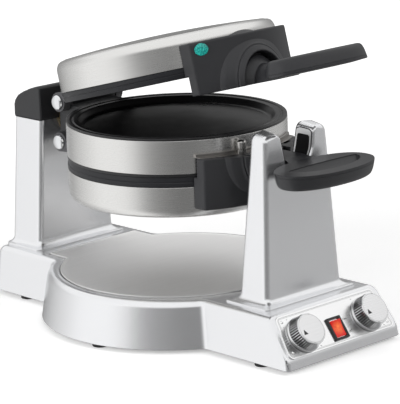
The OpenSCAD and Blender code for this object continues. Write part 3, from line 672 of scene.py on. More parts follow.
# foot and top of both towers: width, front and rear
rearTower = {
    "foot": (101.0, 170.0, 214.5), "top": (87.0, 168.0, 210.5), "low": 50.0, "high": 183.5,
    "edge": 5.5, "ledge": 3.2, "fillet": 7.0,
}
footEdge = [(0, -3.0), (0, 1.0), (0.25, 1.6), (0.8, 1.9)]  # inset and height of the foot's rounded edge
footHigh = 2.0


def towerRing(half, y0, y1, r, z):
    points = arcPoints(half - r, y0 + r, r, -90, 0, 7) + arcPoints(half - r, y1 - r, r, 0, 90, 7)
    return [(x, y, z) for x, y in bothSides(points)]


def footSteps(s):  # reach and height of a tower's foot: edge, ledge, then a hollow curve up to the wall
    r = s["fillet"]
    steps = [(s["ledge"] + r - inset, up) for inset, up in footEdge]
    return steps + arcPoints(r, footHigh + r, r, 270, 180, 6)


def buildRearTower(s=rearTower):
    rings = []
    for reach, up in footSteps(s):  # the foot hardly reaches out at the rear
        front, back = s["foot"][1] - reach, s["foot"][2] + min(1.2, reach * 0.2)
        rings.append(towerRing(s["foot"][0] / 2 + reach, front, back, s["edge"] + reach * 0.35, s["low"] + up))
    start = rings[-1][0][2]
    for k in range(1, 7):
        wide, front, back = (a + (b - a) * k / 6 for a, b in zip(s["foot"], s["top"]))
        rings.append(towerRing(wide / 2, front, back, s["edge"], start + (s["high"] - start) * k / 6))
    bm = bmesh.new()
    loft(bm, rings)
    finishPiece(bm, "rearTower", "base", ["rear_tower"], silverPaint, smooth=38)


# skew leans the front of the prongs outwards, tilt lowers their tops towards the front,
# and cuts are the heights of the edge loops that let them bend
fork = {
    "foot": (102.0, -159.2, -121.5), "top": (84.0, -152.5, -132.5), "low": 50.0, "high": 213.0,
    "deep": 15.0, "outer": 5.5, "inner": 3.0, "ledge": 3.0, "fillet": 7.0, "crown": 8.0, "slot": 15.3,
    "lean": 8.0, "flare": 8.0, "skewLeft": 1.0, "skewRight": 4.5, "skewFrom": 178.0, "skewOver": 14.0,
    "skewReach": 31.0, "skewFade": 9.0, "tilt": 3.5, "tiltFrom": 190.0,
    "cuts": [62, 75, 95, 115, 135, 152, 163, 170, 174, *range(178, 206, 3), 207, 209, 211],
}


def slotPath(grow, s=fork):  # right half of the slot, from the top of the prong down to the lowest point
    r = s["slot"] + grow
    lean = math.radians(s["lean"])
    flare = s["flare"] - grow
    footX, footZ = r * math.cos(lean), drum["axis"] - r * math.sin(lean)
    flareZ = s["high"] - s["flare"]
    flareX = footX + (flareZ - footZ) * math.tan(lean) + flare / math.cos(lean)
    points = arcPoints(flareX, flareZ, flare, 90, 180 - s["lean"], 10)
    x, z = points[-1]
    points += [(x + (footX - x) * k / 14, z + (footZ - z) * k / 14) for k in range(1, 14)]
    return points + arcPoints(0, drum["axis"], r, -s["lean"], -90, 14)


def forkPlace(x, v, z, s=fork):  # from a straight upright block to the tapered tower with its foot and prongs
    up = z - s["low"]
    share = up / (s["high"] - s["low"])
    front, back = (a + (b - a) * share for a, b in zip(s["foot"][1:], s["top"][1:]))
    steps = footSteps(s)
    reach = 0.0
    for (r0, z0), (r1, z1) in zip(steps, steps[1:]):
        if z0 <= up <= z1:
            reach = r0 + (r1 - r0) * (up - z0) / max(1e-6, z1 - z0)
    edge = s["deep"] - s["outer"]
    if v < -edge:
        y = front - reach + v + s["deep"]
    elif v > edge:
        y = back + reach - s["deep"] + v
    else:
        y = front + s["outer"] + (back - front - 2 * s["outer"]) * (v + edge) / (2 * edge)
    ahead = clamped((back - y) / (back - front))
    lift = clamped((z - s["skewFrom"]) / s["skewOver"])
    near = clamped((s["skewReach"] - abs(x)) / s["skewFade"])
    skew = s["skewRight"] if x > 0 else s["skewLeft"]
    x += math.copysign(skew, x) * ahead * lift * lift * (3 - 2 * lift) * near
    z -= s["tilt"] * ahead * max(0.0, (z - s["tiltFrom"]) / (s["high"] - s["tiltFrom"]))
    return (x, y, z)


def buildFrontTower(s=fork):
    rings = []
    quarter = [math.radians(15 * k) for k in range(7)]
    edges = [(t, -1) for t in quarter] + [(t, 1) for t in reversed(quarter)]  # rounded front and rear edge
    for t, way in edges:
        a, b = (s[k] * (1 - math.sin(t)) for k in ("outer", "inner"))
        va, vb = (way * (s["deep"] - s[k] * (1 - math.cos(t))) for k in ("outer", "inner"))
        crown = arcPoints(s["top"][0] / 2 - s["crown"], s["high"] - s["crown"], s["crown"] - a, 3, 90, 8)
        half = [(s["foot"][0] / 2 + reach - a, va, s["low"] + up) for reach, up in footSteps(s)]
        half += [(x, va, z) for x, z in crown] + [(x, vb, z) for x, z in slotPath(b)]
        rings.append(half + [(-x, v, z) for x, v, z in reversed(half[:-1])])
    bm = bmesh.new()
    loft(bm, rings)
    bmesh.ops.recalc_face_normals(bm, faces=bm.faces)
    for z in [s["low"] + up for _, up in footSteps(s)[1:]] + s["cuts"]:
        bmesh.ops.bisect_plane(bm, geom=wholeMesh(bm), dist=0.0001, plane_co=(0, 0, z), plane_no=(0, 0, 1))
    for v in bm.verts:
        v.co = forkPlace(*v.co)
    finishPiece(bm, "frontTower", "base", ["front_tower"], silverPaint, smooth=38)


liner = {
    "proud": 0.25, "thick": 1.6, "front": -12.6, "back": 12.4, "round": 3.5, "top": 208.5,
    "gapShadeReach": 0.9, "gapShadeSink": 0.15, "padLow": 181.0, "padHigh": 203.5, "padFront": -11.0,
    "padBack": 10.4, "padRound": 1.2, "padProud": 0.5,
}


def slotStrip(proud, front, back, low, high, rounding, side=0):  # side 0 runs through the slot, prong to prong
    kept = [(a, b) for a, b in zip(slotPath(liner["thick"]), slotPath(-proud)) if low <= b[1] <= high]
    if side == 0:
        kept += [((-a[0], a[1]), (-b[0], b[1])) for a, b in reversed(kept[:-1])]
    run = [0.0]
    for (_, p), (_, q) in zip(kept, kept[1:]):
        run.append(run[-1] + math.hypot(p[0] - q[0], p[1] - q[1]))
    strips = []
    for (a, b), at in zip(kept, run):
        near = min(at, run[-1] - at, rounding)
        cut = rounding - math.sqrt(max(0.0, rounding ** 2 - (rounding - near) ** 2))
        corners = ((b, front + cut), (b, back - cut), (a, back - cut), (a, front + cut))
        strips.append([forkPlace((side or 1) * p[0], v, p[1]) for p, v in corners])
    return strips


def buildLiner(s=liner):
    out = s["gapShadeReach"]
    bm = bmesh.new()  # painted shade: the gap round the liner is a dark strip a little larger than the liner, sunk behind it
    loft(bm, slotStrip(
        s["proud"] - s["gapShadeSink"], s["front"] - out, s["back"] + out, 0, s["top"] + out, s["round"] + out))
    finishPiece(bm, "linerGapShade", "base", [], frameBlackAndGapShade, smooth=30)
    bm = bmesh.new()
    loft(bm, slotStrip(s["proud"], s["front"], s["back"], 0, s["top"], s["round"]))
    finishPiece(bm, "forkLiner", "base", ["fork_liner"], linerGrey, smooth=30)
    bm = bmesh.new()
    for side in (-1, 1):
        loft(bm, slotStrip(
            s["proud"] + s["padProud"], s["padFront"], s["padBack"],
            s["padLow"], s["padHigh"], s["padRound"], side))
    finishPiece(bm, "forkPads", "base", ["fork_pads"], padBlack, smooth=30)


buildRearTower()
softNode("rear_tower_cap", "rearTowerCap", "base", blackPlastic, 2.2, 4, angle=26)
buildFrontTower()
buildLiner()
print("towers made")

# lines: inset and width of each engraved line that follows the plate's edge
plate = {
    "lowHalf": 71.0, "highHalf": 66.0, "low": 1.2, "high": 44.1, "corner": 5.0, "thick": 1.2,
    "lines": [(1.7, 0.35), (2.7, 0.25)], "lineDeep": 0.08,
}


def plateOutline(inset, n, s=plate):
    r = max(0.6, s["corner"] - inset)
    half = arcPoints(s["lowHalf"] - inset - r, s["low"] + inset + r, r, -90, 4, 7)
    half += arcPoints(s["highHalf"] - inset - r, s["high"] - inset - r, r, 4, 90, 7)
    return [(x, y, n) for x, y in bothSides(half)]


def buildPlate(s=plate):
    bm = bmesh.new()
    levels = [(0, 0.02), (0, s["thick"] - 0.4), (0.12, s["thick"] - 0.12), (0.4, s["thick"])]
    loft(bm, [plateOutline(inset, up) for inset, up in levels])
    finishPiece(bm, "panelPlate", "base", ["control_panel"], panelSteel,
                place=onPanel, smooth=30)
    # painted shade: the border lines are coloured darker grey than the plate for the shade in them
    bm = bmesh.new()
    for inset, wide in s["lines"]:
        outline = closedLoop(bm, plateOutline(inset, s["thick"] + 0.03))
        whole = bmesh.ops.contextual_create(bm, geom=outline)["faces"]
        bmesh.ops.inset_individual(bm, faces=whole, thickness=wide)
        bmesh.ops.delete(bm, geom=whole, context="FACES_ONLY")
    lower = bmesh.ops.extrude_face_region(bm, geom=bm.faces[:])["geom"]
    lowerVerts = [v for v in lower if isinstance(v, bmesh.types.BMVert)]
    bmesh.ops.translate(bm, verts=lowerVerts, vec=(0, 0, -s["lineDeep"]))
    finishPiece(bm, "panelBorder", "base", [], borderLineShade, place=onPanel, smooth=30)


rivets = {"places": [(-64.5, 7.6), (64.5, 7.6), (-60.2, 38.0), (60.2, 38.0)], "radius": 1.5, "rise": 0.45}


def buildRivets(s=rivets):
    bm = bmesh.new()
    r, rise = s["radius"], s["rise"]
    for x, y in s["places"]:
        one = turned([(0, 0), (r, 0), (r, rise * 0.4), (r * 0.7, rise), (0, rise)], 24, closed=False)
        addCopy(bm, one, move(x, y, plate["thick"] - 0.02))
    finishPiece(bm, "panelRivets", "base", [], panelSteel, place=onPanel)


# flange: inset and height over the foot; crown and face: inset and height over the top;
# grooves: start and end of each groove and ridge, as shares of one step round the knob, and how deep they are
knob = {
    "x": 43.5, "s": 0.435 * panelSlope["length"], "radius": 18.0, "top": 15.9, "foot": 1.7, "ridges": 44,
    "grooves": [(0.08, 1.0), (0.30, 0.0), (0.58, 0.0), (0.80, 1.0)], "depth": 1.0,
    "flange": [(0.9, 0), (0.15, 0.15), (0, 0.5), (0, 1.3), (0.35, 1.75), (0.9, 2.0)],
    "crown": [(2.6, -1.15), (2.45, -0.9), (2.5, -0.3), (2.8, 0), (3.5, 0), (3.7, -0.35)],
    "face": [(3.75, -0.5), (3.8, 0.05), (4.3, 0.22)], "faceTop": 0.3,
    "pointer": 5.0, "pointerAt": (-9.6, -1.6), "pointerUp": (0.1, 0.36),
}
# ticks that would come nearer to the plate's edge than "clear" are left out
ticks = {
    "angles": range(-135, 136, 27), "radius": 20.3, "long": 2.0, "short": 1.3, "wide": 0.45, "high": 0.1,
    "clear": (2.6, 2.4),
}


def buildTicks(s=ticks):
    bm = bmesh.new()
    low, high = plate["low"] + s["clear"][0], plate["high"] - s["clear"][1]
    for side in (-1, 1):
        middle = move(side * knob["x"], knob["s"], plate["thick"])
        for i, angle in enumerate(s["angles"]):
            size = s["long"] if i % 5 == 0 else s["short"]
            spot = turn(angle, "Z") @ move(0, s["radius"] + size / 2, 0)
            if low < spot.translation.y + knob["s"] < high:
                made = bmesh.ops.create_cube(bm, size=1.0)
                place = middle @ spot @ Matrix.Diagonal((s["wide"], size, s["high"], 1))
                bmesh.ops.transform(bm, matrix=place, verts=made["verts"])
    finishPiece(bm, "dialTicks", "base", [], markInk, place=onPanel)


switchWords = {"size": 3.0, "thick": 0.05, "switchOn": ("ON", 14.3, 6.5), "switchOff": ("OFF", 14.8, -6.5)}


def buildWord(name, s=switchWords):
    text, x, up = s[name]
    curve = bpy.data.curves.new(name, "FONT")
    curve.body = text
    curve.size = s["size"]
    curve.align_x = "CENTER"
    curve.align_y = "CENTER"
    curve.extrude = s["thick"]
    holder = bpy.data.objects.new(name + "Curve", curve)
    bpy.context.scene.collection.objects.link(holder)
    bpy.context.view_layer.update()
    mesh = bpy.data.meshes.new_from_object(holder.evaluated_get(bpy.context.evaluated_depsgraph_get()))
    bpy.data.objects.remove(holder)
    bm = bmesh.new()
    bm.from_mesh(mesh)
    bpy.data.meshes.remove(mesh)
    bmesh.ops.remove_doubles(bm, verts=bm.verts, dist=0.0005)
    place = onPanel @ move(x, rocker["s"] + up, plate["thick"] + 0.04)
    finishPiece(bm, name, "base", [], markInk, place=place, smooth=20)


def knobRing(r, z, depth, s=knob):
    points = []
    for i in range(s["ridges"]):
        for step, inn in s["grooves"]:
            a = math.tau * (i + step) / s["ridges"]
            reach = r - depth * inn
            points.append((reach * math.cos(a), reach * math.sin(a), z))
    return points


def buildKnob(side, s=knob):
    word = "left" if side < 0 else "right"
    label, body = word.capitalize(), word + "_knob"
    place = onPanel @ move(side * s["x"], s["s"], 0)
    r, foot, top, deep = s["radius"], s["foot"], s["top"], s["depth"]
    levels = [(inset, foot + up, 0) for inset, up in s["flange"]]
    levels += [(0.95, foot + 2.3, deep), (2.0, top - 1.9, deep), (2.4, top - 1.3, deep * 0.45)]
    levels += [(inset, top + up, 0) for inset, up in s["crown"]]
    bm = bmesh.new()
    loft(bm, [knobRing(r - inset, z, depth) for inset, z, depth in levels])
    for face in bm.faces:  # painted shade: the groove bottoms and one flank of each ridge get a near-black second material
        middle = face.calc_center_median()
        part = (math.atan2(middle.y, middle.x) / math.tau * s["ridges"]) % 1.0
        if foot + 1.9 < middle.z < top - 1.0 and (part > 0.6 or part < 0.07):
            face.material_index = 1
    finishPiece(bm, "knobBody" + label, body, ["knob_" + word], knobChrome,
                place=place, smooth=32, second=knobGrooveShade)
    face = [(r - inset, top + up) for inset, up in s["face"]]
    face = [(0, face[0][1])] + face + [(0, top + s["faceTop"])]
    finishPiece(turned(face, 96, closed=False), "knobFace" + label, body, ["knob_cap_" + word],
                knobFaceSteel, place=place, smooth=32)
    size, (x, y) = s["pointer"], s["pointerAt"]
    corners = [(x - size / 2, y - size / 2), (x + size / 2, y - size / 2), (x - size * 0.1, y + size / 2)]
    bm = bmesh.new()  # black pointer at the left of the face
    loft(bm, [[(px, py, top + up) for px, py in corners] for up in s["pointerUp"]])
    finishPiece(bm, "knobPointer" + label, body, [], markInk, place=place)


rocker = {
    "s": 0.345 * panelSlope["length"], "wide": 13.0, "long": 17.4, "tilt": 7.0, "face": 3.0, "dish": 0.72,
    "end": [(0, 1.4), (0, 3.3), (0.5, 3.75)], "rootHalf": 4.0, "root": -3.0, "edge": 0.45,
}


def buildRocker(s=rocker):  # a hollow face between two rounded ends, on a body that narrows below the frame
    half = s["long"] / 2 - 0.5
    shares = [1 - k / 4 for k in range(1, 8)]
    side = [(half - inset, up) for inset, up in s["end"]]
    side += [((half - 0.6) * t, s["face"] + s["dish"] * t * t) for t in shares]
    side += [(inset - half, up) for inset, up in reversed(s["end"])]
    side += [(-s["rootHalf"], s["root"]), (s["rootHalf"], s["root"])]
    bm = bmesh.new()
    loft(bm, [[(x, y, z) for y, z in side] for x in (-s["wide"] / 2, s["wide"] / 2)])
    bmesh.ops.recalc_face_normals(bm, faces=bm.faces)
    bevelEdges(bm, sharpEdges(bm, 50, keep=lambda p: p.z > 1.2), s["edge"])
    finishPiece(bm, "rockerLever", "rocker", ["switch_rocker"], rockerRed,
                place=onPanel @ move(0, s["s"], 0) @ turn(s["tilt"]), smooth=40)


buildPlate()
buildRivets()
buildTicks()
for side in (-1, 1):
    buildKnob(side)
buildRocker()
buildWord("switchOn")
buildWord("switchOff")
softNode("power_switch", "switchFrame", "base", switchBlack, 0.45)
softNode("feet", "rubberFeet", "base", rubberBlack, 0.8, 2)
softNode("cord_gland", "cordGland", "base", rubberBlack, 0.4, 2)
print("control panel made")

band = {"out": 109.0, "in": 107.0, "high": 16.2, "gap": 0.12}


def buildBand(s=band):
    high = s["high"] - s["gap"]
    profile = roundedProfile([
        (s["in"], -high, 0), (s["in"], high, 0), (s["out"], high, 0.5), (s["out"], -high, 0.5)])
    finishPiece(turned(profile, 200), "centreBand", "drum", ["centre_band"], bandSteel,
                place=onDrum, smooth=40)


omeletPlate = {
    "floor": 93.5, "wall": 97.0, "stepIn": 101.8, "stepOut": 104.8, "stepDeep": 1.3, "skirt": 106.7,
    "skirtLow": 6.0, "under": 98.0, "deep": 7.5, "thick": 3.5, "gap": 0.1,
}


def buildOmeletPlate(s=omeletPlate):  # deep flat plate with a step and a raised rim
    r, top = drum["radius"], drum["halfBand"]
    rimLow = top - drum["rim"] + s["gap"]
    floor, step = top - s["deep"], top - s["stepDeep"]
    profile = roundedProfile([
        (0, floor - s["thick"], 0), (s["under"], floor - s["thick"], 0), (s["skirt"], s["skirtLow"], 0),
        (s["skirt"], rimLow, 0), (r - 0.25, rimLow, 0.3), (r - 0.2, top - 0.05, 0.9),
        (s["stepOut"], top - 0.05, 0.5), (s["stepOut"] - 0.6, step, 0.5), (s["stepIn"] + 0.6, step, 0.5),
        (s["stepIn"], top - 0.4, 0.6), (s["wall"], top - 0.5, 1.2), (s["floor"], floor, 2.4), (0, floor, 0)], 5)
    finishPiece(turned(profile, 200, closed=False), "omeletPlateLower", "drum", ["omelet_plate_lower"],
                nonStick, place=onDrum, smooth=40)


# corners: inset, height over the lid's top and rounding, from the wall in to the dome's edge
lid = {
    "sheet": 1.5, "dome": 4.6,
    "corners": [(0, -6.4, 2.4), (2.6, -1.4, 1.4), (6.0, 0.4, 0.9), (7.4, 0.25, 0.5), (9.4, 1.3, 1.5)],
    "inside": [(8.0, -0.9), (4.0, -3.0), (1.5, -7.0)],
}
lidRing = {"in": 101.0, "low": 1.6, "belly": 0.9, "groove": 1.2, "upper": 0.2, "grooveUp": 4.6}


def lidProfile(s=lid):
    r, low, high = drum["radius"], drum["ringTop"], drum["lidTop"]
    outer = [(r - s["sheet"], low, 0), (r, low, 0.5)]
    outer += [(r - inset, high + up, rounding) for inset, up, rounding in s["corners"]]
    edgeX, edgeZ, _ = outer[-1]
    shares = [1 - k / 9 for k in range(1, 10)]
    dome = [(edgeX * t, edgeZ + s["dome"] * (1 - t ** 2), 0) for t in shares]
    inner = [(x, z - s["sheet"], 0) for x, z, _ in reversed(dome)]
    inner += [(r - inset, high + up, 0) for inset, up in s["inside"]]
    return smoothOpen(outer + dome + inner)


def ringProfile(s=lidRing):  # a groove runs round it between two bellies
    r, low, high = drum["radius"], drum["ringLow"], drum["ringTop"]
    grooveX, grooveZ = r - s["groove"], low + s["grooveUp"]
    return roundedProfile([
        (s["in"], low, 0), (r - s["low"], low, 0.8), (r - s["belly"], grooveZ, 0.4),
        (grooveX, grooveZ + 0.4, 0.2), (r - s["upper"], grooveZ + 1.1, 0.5), (r - 0.1, high - 0.7, 0.3),
        (grooveX, high - 0.5, 0.1), (grooveX, high, 0), (s["in"], high, 0)], 3)


def buildLid(word, body, side, material):
    finishPiece(turned(lidProfile(), 200), word + "LidShell", body, [word + "_lid_shell"], material,
                place=side @ onDrum, smooth=30)
    finishPiece(turned(ringProfile(), 200), word + "LidRing", body, [word + "_lid_ring"], ringBlack,
                place=side @ onDrum, smooth=40)


upperPlate = {
    "floor": 91.0, "wall": 95.0, "edge": 98.5, "side": 100.6, "flange": 106.8, "deep": 6.0, "thick": 2.0,
    "proud": 0.1,
}


def buildUpperPlate(s=upperPlate):
    floor, edge, flange = drum["ringLow"] + s["deep"], drum["ringLow"] - s["proud"], drum["ringTop"]
    top = flange + s["thick"]
    profile = roundedProfile([
        (0, floor, 0), (s["floor"], floor, 2.2), (s["wall"], edge, 1.2), (s["edge"], edge, 1.0),
        (s["side"], drum["ringLow"] + 2, 0.5), (s["side"], flange, 0), (s["flange"], flange, 0),
        (s["flange"], top, 0), (0, top, 0)], 4)
    finishPiece(turned(profile, 200, closed=False), "omeletPlateUpper", "upper_lid", ["omelet_plate_upper"],
                nonStick, place=lidOpen @ onDrum, smooth=40)


buildBand()
buildOmeletPlate()
buildLid("lower", "drum", lowerSide, bandSteel)
buildLid("upper", "upper_lid", lidOpen, lidSteel)
buildUpperPlate()
print("drum and lids made")

softNode("hinge_bracket", "hingeBracket", "drum", blackPlastic, 1.0, angle=40)
softNode("lower_lid_hinge_arms", "lowerHingeArms", "drum", armGrey, 1.1, angle=40)
softNode("upper_lid_hinge_arms", "upperHingeArms", "upper_lid", armGrey, 1.1, angle=40)

pin = {"arm": 40.0, "radius": 3.5, "cap": 7.6, "rise": 4.2, "edge": 0.35, "domeFrom": 1.7}


def domePoints(r, z, rise, n):  # up and in from a wall of radius r to the axis
    angles = [math.pi / 2 * k / n for k in range(1, n)]
    return [(r * math.cos(a), z + rise * math.sin(a)) for a in angles] + [(0, z + rise)]


def buildPin(word, up, s=pin):  # a rod with a domed cap at each end
    wide, low = s["cap"] - s["edge"], s["domeFrom"]
    cap = [(s["cap"] - 0.9, 0.3), (s["cap"], 0.5), (s["cap"], 1.1), (wide, low)]
    cap += domePoints(wide, low, s["rise"] - low, 12)[:-1]
    end = s["arm"] + s["rise"]
    rod = [(s["radius"], -s["arm"] - 0.3), (s["radius"], s["arm"] + 0.3)]
    lower, upper = [(r, -s["arm"] - z) for r, z in reversed(cap)], [(r, s["arm"] + z) for r, z in cap]
    bm = turned([(0, -end)] + lower + rod + upper + [(0, end)], 72, closed=False)
    finishPiece(bm, word + "HingePin", "drum", [word + "_hinge_pin"], chrome,
                place=move(0, hinge["y"], drum["axis"] + up) @ turn(90, "Y"), smooth=40)


buildPin("upper", hinge["up"])
buildPin("lower", -hinge["up"])
print("hinges made")

# the collar is half a ring round the neck: flare, step, conical ring, deep hollow and inner ring
collar = {
    "low": 0.3, "tall": 1.14, "hole": 33.5,
    "profile": [
        (12.5, 100, 0), (12.5, 119, 0.5), (15.5, 119, 1.2), (22.5, 112.5, 1.0), (22.9, 106.5, 0.5),
        (25.8, 106.5, 0.5), (26.0, 118.2, 0.5), (27.0, 118.4, 0.5), (31.0, 115.6, 0.8), (31.3, 114.2, 0.3),
        (32.6, 114.2, 0.4), (34.0, 112.4, 1.0), (38.0, 110.0, 1.5), (41.5, 107.6, 1.5), (44.0, 104.0, 1.0),
        (46.0, 100.0, 0.0), (46.0, 98.0, 0.0)],
}
catch = {
    "angle": 11.2, "y": 114.5, "radius": 5.0, "top": 10.6, "dome": 2.7, "groove": 0.5, "grooveLow": 4.4,
    "grooveHigh": 5.6, "room": 1.5, "pocket": 17.0,
}
block = {
    "half": 64.0, "radius": 122.0, "inner": 109.3, "relief": 113.0, "low": 0.3, "step": 19.2, "high": 49.9,
    "end": 2.0, "socketFrom": -103.0, "socketDeep": 50.0,
}
stretched = Matrix.Diagonal((1, 1, collar["tall"], 1)) @ turn(90)
catchPlace = turn(-catch["angle"], "Z") @ move(0, -catch["y"], 0)


def blockRing(x, inset, s=block):
    front, inner, relief = (drum["y"] - math.sqrt(s[k] ** 2 - x * x) for k in ("radius", "inner", "relief"))
    low, step, high = s["low"] + inset, s["step"] + inset, s["high"] - inset
    points = [(front + inset, low, 1.5), (front + inset, high, 2.4), (inner - inset, high, 0.8),
              (inner - inset, step, 0.4), (relief - inset, step, 0.4), (relief - inset, low, 0.8)]
    return [(x, y, u) for y, u in roundedProfile(points)]


def bluntPin(radius, low, high, steps):  # a plain round bar to cut with
    return turned([(0, low), (radius, low), (radius, high), (0, high)], steps, closed=False)


def buildBlock(word, body, side, pocket, s=block):
    quarter = [math.radians(18 * k) for k in range(6)]
    ends = [(s["end"] * (1 - math.cos(t)), s["end"] * (1 - math.sin(t))) for t in quarter]
    rings = [blockRing(-s["half"] + d, inset) for d, inset in ends]
    rings += [blockRing(x, 0) for x in range(-60, 61, 4)]  # close enough together to look round
    rings += [blockRing(s["half"] - d, inset) for d, inset in reversed(ends)]
    bm = bmesh.new()
    loft(bm, rings)
    socket = bluntPin(collar["hole"], -0.5, s["socketDeep"], 96)
    socket.transform(move(0, s["socketFrom"], 0) @ stretched)
    bm = cutAway(bm, socket)
    if pocket:
        hole = bluntPin(catch["radius"] + catch["room"], -1, catch["pocket"], 48)
        hole.transform(move(0, drum["y"], 0) @ catchPlace)
        bm = cutAway(bm, hole)
    mirrored = side == lowerSide  # its faces are turned back
    finishPiece(bm, word + "HandleBlock", body, [word + "_handle_block"], handleBlack,
                place=side @ atAxis, smooth=30, recalc=mirrored)


def buildCollar(word, body, side, s=collar):
    bm = turned(smoothOpen(s["profile"], 4), 72, angle=math.pi)
    finishPiece(bm, word + "Collar", body, [], handleBlack,
                place=side @ atAxis @ move(0, 0, s["low"]) @ stretched, smooth=35)


# wall: inset and height; recess: half width, rear and front end, and depth of each loop, from the middle out
paddle = {
    "half": 58.0, "deep": 30.5, "power": 2.2, "y": -188.5, "low": 0.3, "rise": {"upper": 2.7, "lower": 1.7},
    "wall": [
        (0.8, 0.0), (0.2, 0.25), (0.0, 0.9), (0.15, 2.6), (0.5, 2.75), (0.5, 3.05), (0.25, 3.2), (0.5, 4.6),
        (1.4, 9.0), (2.4, 12.0), (3.4, 13.8), (4.8, 14.9), (7.0, 15.5)],
    "recessRear": 2.6,
    "recess": [
        (32.0, -196.0, -201.5, 6.0), (35.5, -193.5, -203.5, 5.6), (38.5, -190.6, -205.2, 4.6),
        (41.0, -188.0, -206.4, 3.2), (43.2, -185.4, -207.4, 1.7), (44.4, -183.9, -208.1, 0.6),
        (45.2, -183.2, -208.6, 0.0), (45.4, -183.0, -208.8, -1.0)],
}
# the neck widens into the paddle from "flareFrom" on, and is low where it turns in the fork
neck = {
    "half": 13.8, "tall": {"upper": 18.0, "lower": 13.8}, "flareFrom": -148.0, "flare": 18.0, "sink": 0.8,
    "lowTo": -131.0, "lowOver": 11.0, "paddleFrom": -157.0, "lap": 0.4, "end": -100.0,
    "stations": [-168, -166, -163.5, -161, -158.5, -156, -153.5, -151, -148, -131, -127, -123, -120],
}


def ovalPoints(a, front, rear, power, cy, z, n=96):
    out = []
    for i in range(n):
        c, s = math.cos(math.tau * i / n), math.sin(math.tau * i / n)
        x = a * math.copysign(abs(c) ** (2 / power), c)
        out.append((x, cy + (rear if s > 0 else front) * math.copysign(abs(s) ** (2 / power), s), z))
    return out


def buildPaddle(word, body, side, s=paddle):
    low, back = s["low"] + s["rise"][word], s["recessRear"]
    rings = [ovalPoints(half, rear - back - front, back, 2.0, rear - back, low + up)
             for half, rear, front, up in s["recess"]]
    for inset, up in s["wall"]:
        deep = s["deep"] - inset
        rings.append(ovalPoints(s["half"] - inset, deep, deep, s["power"], s["y"], low + up))
    bm = bmesh.new()
    loft(bm, rings)
    finishPiece(bm, word + "Handle", body, [word + "_handle"], handleBlack,
                place=side @ atAxis, smooth=38)


def buildNeck(word, body, side, s=neck):  # half-round
    angles = [math.radians(7.5 * k) for k in range(25)]
    rings = []
    for along in s["stations"] + [s["end"]]:
        t = clamped((s["flareFrom"] - along) / s["flare"])
        wide = s["half"] + s["flare"] * (1 - math.sqrt(max(0.0, 1 - t * t)))
        tall = s["half"] + (s["tall"][word] - s["half"]) * clamped((along - s["lowTo"]) / s["lowOver"])
        tall -= s["sink"] * t
        lap = s["lap"] if along < s["paddleFrom"] else 0.0
        under = paddle["low"] + paddle["rise"][word] * min(1.0, 2 * t) + lap
        rings.append([(wide * math.cos(a), along, max(under, tall * math.sin(a))) for a in angles])
    bm = bmesh.new()
    loft(bm, rings)
    finishPiece(bm, word + "HandleNeck", body, [], handleBlack,
                place=side @ atAxis, smooth=38)


def buildCatch(s=catch):  # a stud with a groove below its domed top
    r, neckR = s["radius"], s["radius"] - s["groove"]
    low, high = s["grooveLow"], s["grooveHigh"]
    profile = [(0, -0.3), (r, -0.3), (r, low), (neckR, low + 0.3), (neckR, high - 0.3), (r, high)]
    profile += [(r, s["top"])] + domePoints(r, s["top"], s["dome"], 7)
    finishPiece(turned(profile, 48, closed=False), "chamberCatch", "drum", ["chamber_catch"], catchSteel,
                place=onDrum @ catchPlace, smooth=40)


lens = {
    "angle": 26.5, "up": 42.2, "face": 121.9, "radius": 6.9, "facets": 14, "flat": 0.86, "wall": 0.4,
    "rise": 2.7,
}


def buildLens(s=lens):
    profile = [(0, -0.5), (s["radius"], -0.5), (s["radius"], s["wall"])]
    profile += domePoints(s["radius"], s["wall"], s["rise"], 4)
    place = lidOpen @ onDrum @ turn(-s["angle"], "Z") @ move(0, -s["face"], s["up"])
    finishPiece(turned(profile, s["facets"], closed=False), "readyLightLens", "upper_lid",
                ["ready_light_lens"], tealJewel,
                place=place @ Matrix.Diagonal((1, 1, s["flat"], 1)) @ turn(90), smooth=5)


for word, body, side in (("lower", "drum", lowerSide), ("upper", "upper_lid", lidOpen)):
    buildBlock(word, body, side, word == "upper")
    buildCollar(word, body, side)
    buildPaddle(word, body, side)
    buildNeck(word, body, side)
softNode("block_trim", "blockTrim", "drum", trimSteel, 0.15, 2, angle=40)
buildCatch()
buildLens()
print("handles made")

# tones: what a reflection sees low down in each direction round the upright axis, in degrees, up to "low";
# above "high" the surroundings are plain white
studio = {
    "floor": (0.93, 0.93, 0.93), "glowNear": 0.42, "glowFar": 0.9, "world": 0.35, "low": 15.0, "high": 30.0,
    "tones": [
        (0, 0.55), (20, 0.34), (47, 0.19), (75, 0.36), (100, 0.64), (120, 0.82), (136, 1.0), (168, 1.0),
        (181, 0.84), (190, 0.5), (200, 0.31), (214, 0.25), (228, 0.18), (246, 0.2), (268, 0.27), (292, 0.37),
        (313, 0.45), (335, 0.52), (360, 0.55)],
}


def directRays(tree):  # rays straight from the camera, also through clear material
    paths = tree.nodes.new("ShaderNodeLightPath")
    rays = [paths.outputs["Is Camera Ray"], paths.outputs["Is Transmission Ray"]]
    return paths, mathNode(tree, "MAXIMUM", *rays)


